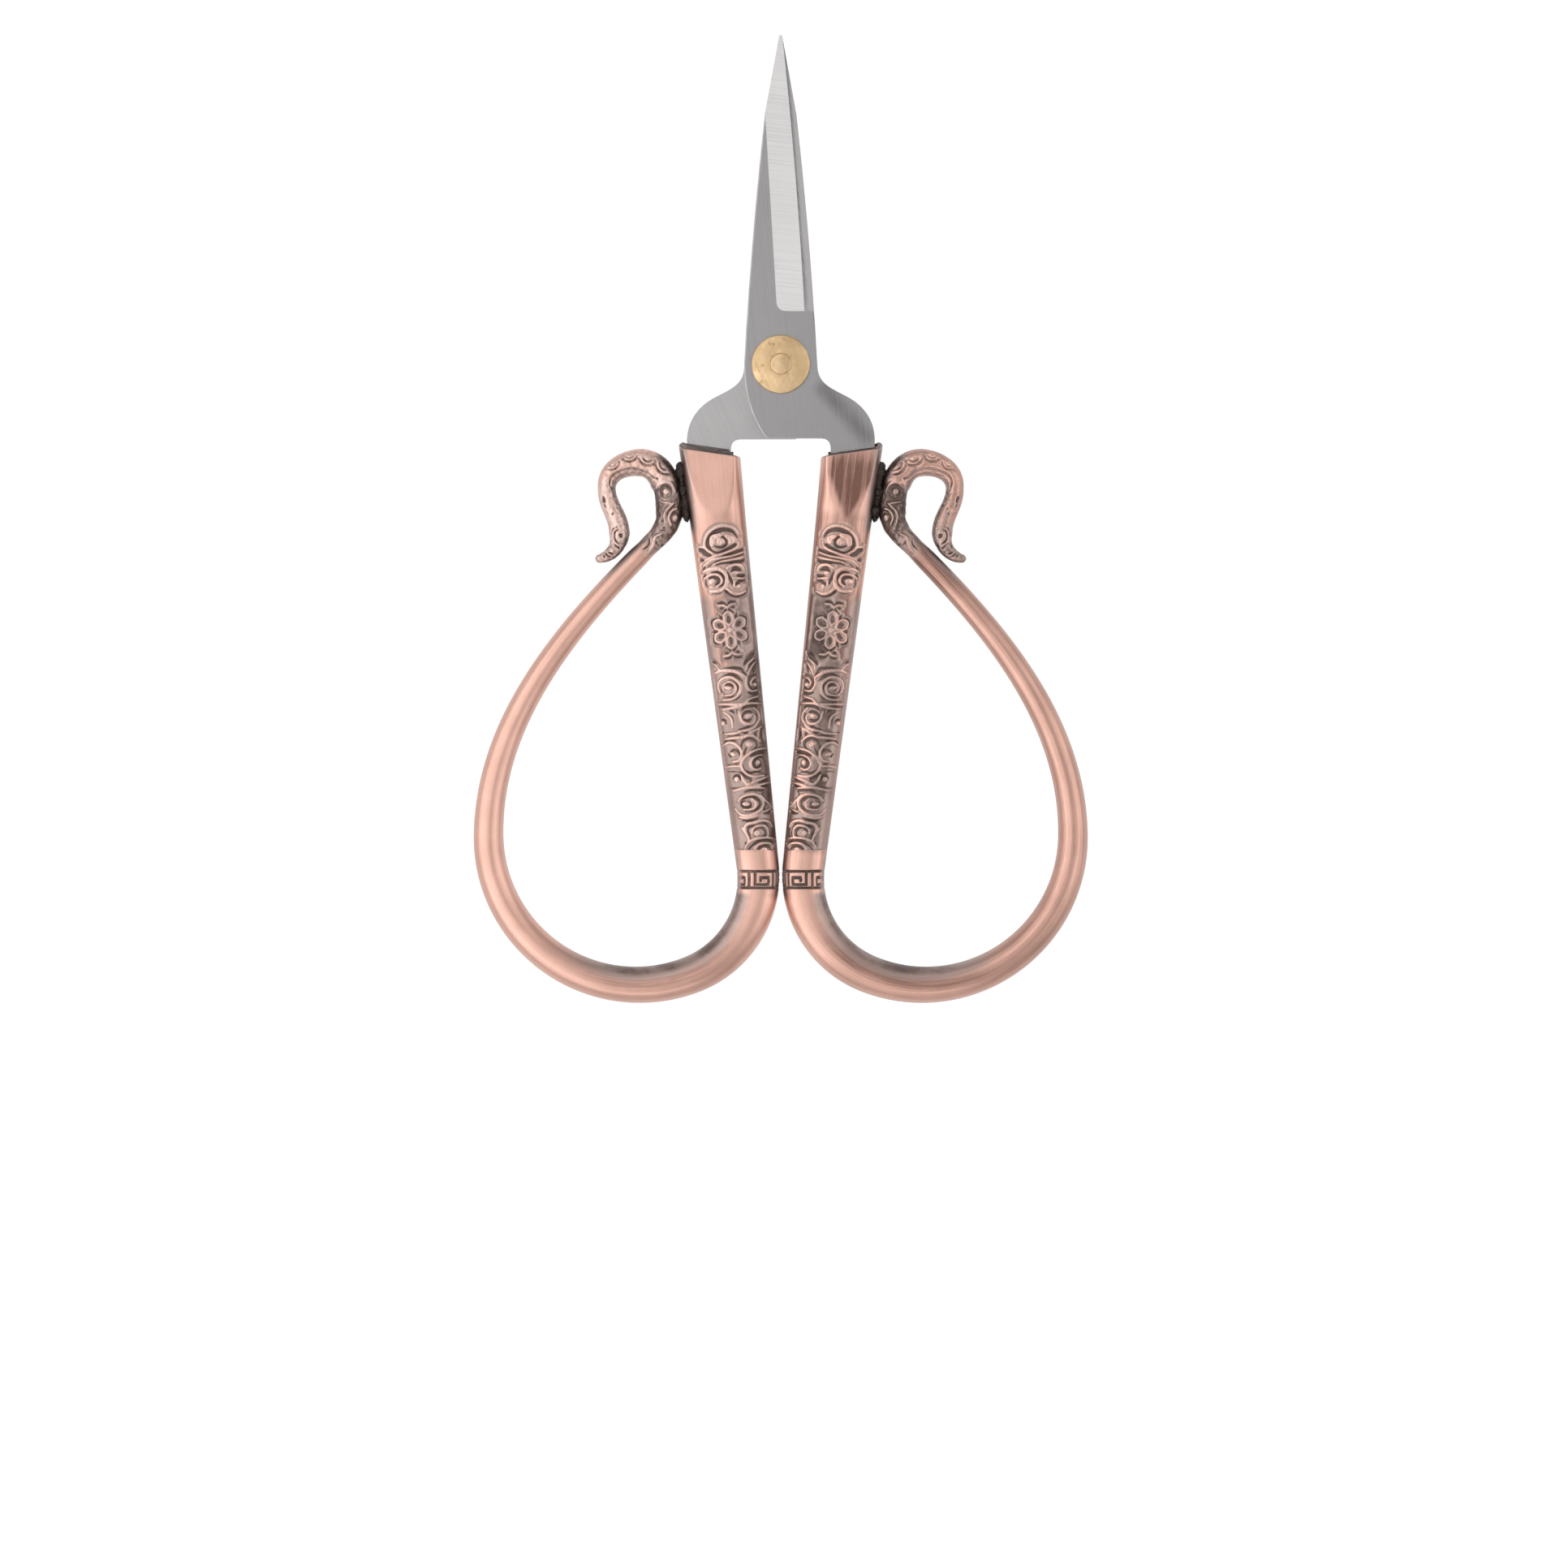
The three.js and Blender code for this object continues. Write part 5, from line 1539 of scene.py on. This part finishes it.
def new_group(name, inputs, outputs):
    tree = bpy.data.node_groups.new(name, "ShaderNodeTree")
    for label, kind, default in inputs:
        socket = tree.interface.new_socket(name=label, in_out="INPUT", socket_type=kind)
        if default is not None:
            socket.default_value = default
    for label in outputs:
        tree.interface.new_socket(name=label, in_out="OUTPUT", socket_type="NodeSocketFloat")
    return tree, tree.nodes.new("NodeGroupInput"), tree.nodes.new("NodeGroupOutput")


def brushing_group():
    """Fine scratches that run along x of the given place, with some deeper ones."""
    tree, given, result = new_group("brushing", (
        ("Place", "NodeSocketVector", None),
        ("Fineness", "NodeSocketFloat", 9.0),
        ("Length", "NodeSocketFloat", 0.25),
    ), ("Height", "Streaks"))
    apart = add_node(tree, "ShaderNodeSeparateXYZ")
    wire(tree, given.outputs["Place"], apart.inputs[0])
    lengthwise = math_node(tree, "MULTIPLY", apart.outputs[0], given.outputs["Length"])
    sideways = math_node(tree, "MULTIPLY", apart.outputs[1], given.outputs["Fineness"])
    upward = math_node(tree, "MULTIPLY", apart.outputs[2], given.outputs["Fineness"])
    joined = add_node(tree, "ShaderNodeCombineXYZ")
    for value, socket in zip((lengthwise, sideways, upward), joined.inputs):
        wire(tree, value, socket)
    fine = add_node(tree, "ShaderNodeTexNoise", in_Scale=1.0, in_Detail=3.0, in_Roughness=0.65)
    wide = add_node(tree, "ShaderNodeTexNoise", in_Scale=0.28, in_Detail=2.0, in_Roughness=0.5)
    for texture in (fine, wide):
        wire(tree, joined.outputs[0], texture.inputs["Vector"])
    height = math_node(tree, "MULTIPLY_ADD", wide.outputs["Fac"], 0.6, fine.outputs["Fac"])
    wire(tree, height, result.inputs["Height"])
    wire(tree, ramp(tree, wide.outputs["Fac"], 0.42, 0.66), result.inputs["Streaks"])
    return tree


def mottling_group():
    """Cloudy unevenness of tone, and small spots."""
    tree, given, result = new_group("mottling", (
        ("Place", "NodeSocketVector", None),
        ("Size", "NodeSocketFloat", 1.0),
    ), ("Clouds", "Spots", "Grit"))
    size = given.outputs["Size"]
    outputs = {}
    for label, ratio, detail in (("Clouds", 0.35, 4.0), ("Spots", 1.1, 2.0), ("Grit", 7.0, 3.0)):
        texture = add_node(tree, "ShaderNodeTexNoise", in_Detail=detail, in_Roughness=0.6)
        wire(tree, given.outputs["Place"], texture.inputs["Vector"])
        wire(tree, math_node(tree, "DIVIDE", ratio, size), texture.inputs["Scale"])
        outputs[label] = texture.outputs["Fac"]
    wire(tree, ramp(tree, outputs["Clouds"], 0.32, 0.68), result.inputs["Clouds"])
    wire(tree, ramp(tree, outputs["Spots"], 0.60, 0.70), result.inputs["Spots"])
    wire(tree, outputs["Grit"], result.inputs["Grit"])
    return tree


def use_group(tree, name, build, place_socket, **values):
    """Places a shared group, building it the first time, and returns its outputs."""
    made = tree.nodes.new("ShaderNodeGroup")
    made.node_tree = bpy.data.node_groups.get(name) or build()
    wire(tree, place_socket, made.inputs["Place"])
    for label, value in values.items():
        made.inputs[label].default_value = value
    return made.outputs


def new_material(name, metallic):
    material = bpy.data.materials.new(name)
    material.use_nodes = True
    tree = material.node_tree
    shader = tree.nodes["Principled BSDF"]
    shader.inputs["Metallic"].default_value = metallic
    return material, tree, shader


def millimetre_place(tree, turn_degrees=0.0, rise=1.0):
    """Object coordinates in millimetres, turned about the upright; rise is how much the height counts."""
    source = add_node(tree, "ShaderNodeTexCoord")
    mapping = add_node(tree, "ShaderNodeMapping")
    mapping.inputs["Scale"].default_value = (1 / MM, 1 / MM, rise / MM)
    mapping.inputs["Rotation"].default_value = (0, 0, math.radians(turn_degrees))
    wire(tree, source.outputs["Object"], mapping.inputs["Vector"])
    return mapping.outputs["Vector"]


def bump(tree, shader, height, strength, distance):
    made = add_node(tree, "ShaderNodeBump", in_Strength=strength, in_Distance=distance)
    wire(tree, height, made.inputs["Height"])
    wire(tree, made.outputs["Normal"], shader.inputs["Normal"])


def copper_material(finishes):
    """Copper that was blackened, then rubbed bright on everything that stands up."""
    material, tree, shader = new_material("antique_copper", 1.0)
    shader.inputs["Coat Weight"].default_value = 0.7
    shader.inputs["Coat Roughness"].default_value = 0.3
    # The handles' patina values also carry painted shade on the grips, and their tarnish values the partly
    # painted brown of the right bow
    patina = add_node(tree, "ShaderNodeAttribute", attribute_name="patina").outputs["Fac"]
    tarnish = add_node(tree, "ShaderNodeAttribute", attribute_name="tarnish").outputs["Fac"]
    lie = add_node(tree, "ShaderNodeAttribute", attribute_name="lie").outputs["Vector"]
    spot = millimetre_place(tree)
    brushed = use_group(tree, "brushing", brushing_group, lie, Fineness=16.0, Length=0.22)
    mottled = use_group(tree, "mottling", mottling_group, spot, Size=1.6)
    uneven = math_node(tree, "MULTIPLY_ADD", mottled["Clouds"], 0.4, 0.8)
    dark = math_node(tree, "MULTIPLY", patina, uneven)
    dark = math_node(tree, "MULTIPLY_ADD", mottled["Spots"], 0.06, dark)
    hairlines = ramp(tree, brushed["Height"], 0.6, 1.0, 0.0, 0.65)
    lines = math_node(tree, "MULTIPLY_ADD", brushed["Streaks"], 0.35, hairlines)
    streaked = math_node(tree, "MULTIPLY_ADD", lines, 0.6, 0.65)
    brown = math_node(tree, "MULTIPLY", tarnish, streaked)
    brown = math_node(tree, "MULTIPLY_ADD", lines, 0.1, brown)
    brown = math_node(tree, "MULTIPLY_ADD", mottled["Clouds"], 0.1, brown)
    rubbed = ramp(tree, tarnish, 0.0, -RUBBED)
    bright = mix_colour(tree, rubbed, tuple(finishes.copper), tuple(finishes.copper_rubbed))
    bright = mix_colour(tree, brown, bright, tuple(finishes.copper_shade))
    colour = mix_colour(tree, ramp(tree, dark, 0.0, 0.5), bright, tuple(finishes.film))
    colour = mix_colour(tree, ramp(tree, dark, 0.45, 1.0), colour, tuple(finishes.patina))
    wire(tree, colour, shader.inputs["Base Color"])
    rough = math_node(tree, "MULTIPLY_ADD", dark, 0.15, 0.36)
    rough = math_node(tree, "MULTIPLY_ADD", brushed["Streaks"], 0.08, rough)
    wire(tree, rough, shader.inputs["Roughness"])
    height = math_node(tree, "MULTIPLY_ADD", mottled["Grit"], 0.5, brushed["Height"])
    bump(tree, shader, height, 0.22, 0.05 * MM)
    return material


# A straight band of painted shade across the steel
PaintedShadeBand = namedtuple("PaintedShadeBand", "turn middle half start end")
BAND_FADE = 2
BAND_SHADE = 0.5


def band_mask(tree, band):
    """1 along a soft straight band across the steel, in millimetres after a turn about the upright."""
    apart = add_node(tree, "ShaderNodeSeparateXYZ")
    wire(tree, millimetre_place(tree, band.turn), apart.inputs[0])
    aside = math_node(tree, "ABSOLUTE", math_node(tree, "SUBTRACT", apart.outputs[0], band.middle))
    beside = ramp(tree, aside, 0.0, band.half, 1.0, 0.0)
    after_start = ramp(tree, apart.outputs[1], band.start - BAND_FADE, band.start)
    before_end = ramp(tree, apart.outputs[1], band.end, band.end + BAND_FADE, 1.0, 0.0)
    return math_node(tree, "MULTIPLY", beside, math_node(tree, "MULTIPLY", after_start, before_end))


def steel_material(name, colour, direction, fineness, roughness, shade, band=None):
    """Steel brushed in one direction, with a band of painted shade where one is given."""
    material, tree, shader = new_material(name, 1.0)
    spot = millimetre_place(tree, direction, 0.0)
    brushed = use_group(tree, "brushing", brushing_group, spot, Fineness=fineness, Length=0.06)
    mottled = use_group(tree, "mottling", mottling_group, millimetre_place(tree), Size=3.0)
    darker = tuple(channel * shade for channel in colour)
    streaks = math_node(tree, "MULTIPLY", brushed["Streaks"], 0.6)
    tone = math_node(tree, "MULTIPLY_ADD", mottled["Clouds"], 0.4, streaks)
    finish = mix_colour(tree, tone, tuple(colour), darker)
    if band:
        # Painted shade: the band darkens the steel unevenly, towards BAND_SHADE of its colour
        uneven = math_node(tree, "MULTIPLY_ADD", tone, 0.5, 0.5)
        painted_shade = math_node(tree, "MULTIPLY", band_mask(tree, band), uneven)
        finish = mix_colour(tree, painted_shade, finish, tuple(channel * BAND_SHADE for channel in colour))
    wire(tree, finish, shader.inputs["Base Color"])
    rough = math_node(tree, "MULTIPLY_ADD", brushed["Streaks"], 0.1, roughness)
    wire(tree, rough, shader.inputs["Roughness"])
    bump(tree, shader, brushed["Height"], 0.18, 0.03 * MM)
    return material


def brass_material(name, finishes, polish):
    """Brass with dull spots; polish is its roughness where it is clean."""
    material, tree, shader = new_material(name, 1.0)
    mottled = use_group(tree, "mottling", mottling_group, millimetre_place(tree), Size=1.2)
    clouds = math_node(tree, "MULTIPLY", mottled["Clouds"], 0.4)
    dull = math_node(tree, "MULTIPLY_ADD", mottled["Spots"], 0.45, clouds)
    colour = mix_colour(tree, dull, tuple(finishes.brass), tuple(finishes.brass_tarnish))
    wire(tree, colour, shader.inputs["Base Color"])
    wire(tree, math_node(tree, "MULTIPLY_ADD", dull, 0.25, polish), shader.inputs["Roughness"])
    bump(tree, shader, mottled["Grit"], 0.4, 0.06 * MM)
    return material


GRAIN_PALENESS = 2.6


def dark_material(name, colour, metallic, roughness):
    """Blackened solder or resin: lumpy, with paler rubbed grains."""
    material, tree, shader = new_material(name, metallic)
    mottled = use_group(tree, "mottling", mottling_group, millimetre_place(tree), Size=0.8)
    paler = tuple(min(1.0, channel * GRAIN_PALENESS) for channel in colour)
    clouds = math_node(tree, "MULTIPLY", mottled["Clouds"], 0.3)
    grains = math_node(tree, "MULTIPLY_ADD", mottled["Spots"], 0.6, clouds)
    wire(tree, mix_colour(tree, grains, tuple(colour), paler), shader.inputs["Base Color"])
    wire(tree, math_node(tree, "MULTIPLY_ADD", mottled["Clouds"], 0.2, roughness), shader.inputs["Roughness"])
    bump(tree, shader, mottled["Grit"], 0.6, 0.1 * MM)
    return material


# Studio

FRAME_WIDTH = 210.35
FRAME_CENTRE = (0.436, -35.5)
LENS = 100
SENSOR = 36
Lamp = namedtuple("Lamp", "name bearing elevation distance width height brightness")
LAMPS = (
    Lamp("left_softbox", 180, 28, 0.75, 0.8, 0.45, 1.05),
    Lamp("top_left_softbox", 180, 63, 0.42, 0.7, 0.42, 0.95),
    Lamp("right_softbox", 2, 38, 0.75, 0.75, 0.75, 1.05),
    Lamp("front_softbox", 252, 32, 0.75, 1.1, 0.4, 1.0),
    Lamp("back_softbox", 95, 35, 0.8, 0.6, 0.3, 0.8),
)
AMBIENT = 0.42
FLOOR_HALF = 1.5
FLOOR_DROP = 0.0001
FLOOR_GLOW = 0.8
FLOOR_WHITE = 1.16
FLOOR_MIRRORED = 0.88


def floor_material(finishes):
    """White to the eye and in reflections, with a soft shadow under the object."""
    material, tree, shader = new_material("studio_floor", 0.0)
    tree.nodes.remove(shader)
    output = tree.nodes["Material Output"]
    matt = add_node(tree, "ShaderNodeBsdfDiffuse")
    matt.inputs["Color"].default_value = (*finishes.floor, 1.0)
    glow = add_node(tree, "ShaderNodeEmission")
    path = add_node(tree, "ShaderNodeLightPath")
    camera_ray = path.outputs["Is Camera Ray"]
    seen = math_node(tree, "MAXIMUM", camera_ray, path.outputs["Is Glossy Ray"])
    seen = math_node(tree, "MAXIMUM", seen, path.outputs["Is Transmission Ray"])
    share = math_node(tree, "MULTIPLY", seen, FLOOR_GLOW)
    level = math_node(tree, "MULTIPLY_ADD", camera_ray, FLOOR_WHITE - FLOOR_MIRRORED, FLOOR_MIRRORED)
    wire(tree, level, glow.inputs["Strength"])
    mixed = add_node(tree, "ShaderNodeMixShader")
    wire(tree, share, mixed.inputs["Fac"])
    wire(tree, matt.outputs[0], mixed.inputs[1])
    wire(tree, glow.outputs[0], mixed.inputs[2])
    wire(tree, mixed.outputs[0], output.inputs["Surface"])
    return material


def build_floor(finishes):
    corners = [(x * FLOOR_HALF, y * FLOOR_HALF, -FLOOR_DROP) for x, y in ((-1, -1), (1, -1), (1, 1), (-1, 1))]
    floor = new_piece("floor", corners, [(0, 1, 2, 3)], [floor_material(finishes)])


def light_room(scene):
    """Dim light from all round, white where the camera looks past the floor."""
    world = bpy.data.worlds.new("studio")
    scene.world = world
    world.use_nodes = True
    tree = world.node_tree
    air = tree.nodes["Background"]
    path = add_node(tree, "ShaderNodeLightPath")
    air.inputs["Color"].default_value = (1, 1, 1, 1)
    wire(tree, ramp(tree, path.outputs["Is Camera Ray"], 0, 1, AMBIENT, 1.0), air.inputs["Strength"])


def hang_lamp(scene, lamp):
    """A soft lamp that looks at the middle of the floor and isn't seen itself."""
    light = bpy.data.lights.new(lamp.name, "AREA")
    light.shape, light.size, light.size_y = "RECTANGLE", lamp.width, lamp.height
    light.energy = lamp.brightness * math.pi * lamp.width * lamp.height
    holder = bpy.data.objects.new(lamp.name, light)
    scene.collection.objects.link(holder)
    bearing, rise = math.radians(lamp.bearing), math.radians(lamp.elevation)
    way = Vector((math.cos(bearing) * math.cos(rise), math.sin(bearing) * math.cos(rise), math.sin(rise)))
    holder.location = way * lamp.distance
    holder.rotation_euler = way.to_track_quat("Z", "Y").to_euler()
    holder.visible_camera = False


def set_camera(scene):
    """A camera straight above, as far off as its lens needs for the photograph's frame."""
    camera = bpy.data.cameras.new("camera")
    camera.lens, camera.sensor_width = LENS, SENSOR
    eye = bpy.data.objects.new("camera", camera)
    scene.collection.objects.link(eye)
    distance = FRAME_WIDTH * MM * LENS / SENSOR
    eye.location = (FRAME_CENTRE[0] * MM, FRAME_CENTRE[1] * MM, PIVOT.z + distance)
    scene.camera = eye


# Painted shade on the steel: a dark band on the front shank, standing in for the reflection of its bent face,
# and a dark line on the rear blade along the front edge, standing in for that edge's reflection
FRONT_SHANK_PAINTED_SHADE = PaintedShadeBand(turn=-41.9, middle=15.9, half=2.0, start=0.5, end=9.0)
# A dark line painted on the rear blade along the front blade's edge, standing in for the edge's reflection
REAR_EDGE_PAINTED_REFLECTION = PaintedShadeBand(turn=-4.62, middle=5.7, half=0.5, start=29.5, end=62.0)


class SCISSORS_OT_blades(bpy.types.Operator):
    """Make both blades, with ground faces, chamfered spines and softened corners"""

    bl_idname = "scissors.blades"
    bl_label = "Blades"

    def execute(self, context):
        sizes, finishes = context.scene.scissors_sizes, context.scene.scissors_finishes
        ground = steel_material(
            "ground_steel", finishes.ground_steel, direction=4, fineness=26.0, roughness=0.3, shade=0.9)
        blades = (("front", "front_half", False, finishes.steel, 84, FRONT_SHANK_PAINTED_SHADE),
                  ("rear", "rear_half", True, finishes.rear_steel_painted_lighter, 66, REAR_EDGE_PAINTED_REFLECTION))
        for name, body, turned_over, colour, direction, band in blades:
            flat = steel_material(
                f"{name}_satin_steel", colour, direction, fineness=22.0, roughness=0.34, shade=0.9, band=band)
            piece = build_blade(f"{name}_ground_blade", turned_over, [flat, ground], sizes)
            place(piece, body, "blade_steel", f"{name}_blade")
        return {"FINISHED"}


class SCISSORS_OT_handles(bpy.types.Operator):
    """Make both cast handles, with their carved grips and curls"""

    bl_idname = "scissors.handles"
    bl_label = "Handles"

    def execute(self, context):
        sizes, finishes = context.scene.scissors_sizes, context.scene.scissors_finishes
        copper = copper_material(finishes)
        for side, body in (("left", "rear_half"), ("right", "front_half")):
            piece = build_handle(side, copper, sizes)
            place(piece, body, "antique_copper", f"{side}_handle")
        return {"FINISHED"}


class SCISSORS_OT_pivot(bpy.types.Operator):
    """Make the rivet and the two washers"""

    bl_idname = "scissors.pivot"
    bl_label = "Pivot"

    def execute(self, context):
        sizes, finishes = context.scene.scissors_sizes, context.scene.scissors_finishes
        disc = brass_material("washer_brass", finishes, polish=0.4)
        pin = brass_material("rivet_brass", finishes, polish=0.3)
        for name, turned_over in (("front", False), ("rear", True)):
            piece = build_washer(f"{name}_domed_washer", turned_over, disc, sizes)
            place(piece, "rear_half", "washer_brass", f"{name}_washer")
        place(build_rivet("peened_rivet", pin, sizes), "rear_half", "rivet_brass", "pivot_rivet")
        return {"FINISHED"}


class SCISSORS_OT_bonds(bpy.types.Operator):
    """Make the solder beads and finish the cement in the sockets"""

    bl_idname = "scissors.bonds"
    bl_label = "Bonds"

    def execute(self, context):
        finishes = context.scene.scissors_finishes
        bead = dark_material("dark_solder", finishes.solder, metallic=1.0, roughness=0.5)
        resin = dark_material("tang_cement", finishes.cement, metallic=0.0, roughness=0.7)
        for side, body in (("left", "rear_half"), ("right", "front_half")):
            place(build_solder(side, bead), body, "dark_solder", f"{side}_curl_solder")
            cement = frame["nodes"][f"{side}_tang_cement"]
            cement.data.materials.clear()
            cement.data.materials.append(resin)
        return {"FINISHED"}


class SCISSORS_OT_stage(bpy.types.Operator):
    """Make the floor, the lamps and the camera"""

    bl_idname = "scissors.stage"
    bl_label = "Studio"

    def execute(self, context):
        scene = context.scene
        scene.view_settings.view_transform = "Standard"
        build_floor(scene.scissors_finishes)
        light_room(scene)
        for lamp in LAMPS:
            hang_lamp(scene, lamp)
        set_camera(scene)
        return {"FINISHED"}


STEPS = (SCISSORS_OT_stage, SCISSORS_OT_blades, SCISSORS_OT_handles, SCISSORS_OT_pivot, SCISSORS_OT_bonds)


class SCISSORS_PT_sidebar(bpy.types.Panel):
    """Lists the steps and the values that they use"""

    bl_idname = "SCISSORS_PT_sidebar"
    bl_label = "Embroidery scissors"
    bl_space_type = "VIEW_3D"
    bl_region_type = "UI"
    bl_category = "Scissors"

    def draw(self, context):
        for step in STEPS:
            self.layout.operator(step.bl_idname)
        for group in (context.scene.scissors_sizes, context.scene.scissors_finishes):
            column = self.layout.column()
            for name in group.__annotations__:
                column.prop(group, name)


CLASSES = (ScissorsSizes, ScissorsFinishes, *STEPS, SCISSORS_PT_sidebar)


def register():
    for made in CLASSES:
        bpy.utils.register_class(made)
    bpy.types.Scene.scissors_sizes = PointerProperty(type=ScissorsSizes)
    bpy.types.Scene.scissors_finishes = PointerProperty(type=ScissorsFinishes)


def unregister():
    del bpy.types.Scene.scissors_finishes
    del bpy.types.Scene.scissors_sizes
    for made in reversed(CLASSES):
        bpy.utils.unregister_class(made)


def main():
    register()
    bpy.ops.scissors.stage()
    bpy.ops.scissors.blades()
    bpy.ops.scissors.handles()
    bpy.ops.scissors.pivot()
    bpy.ops.scissors.bonds()


if __name__ == "__main__":
    main()
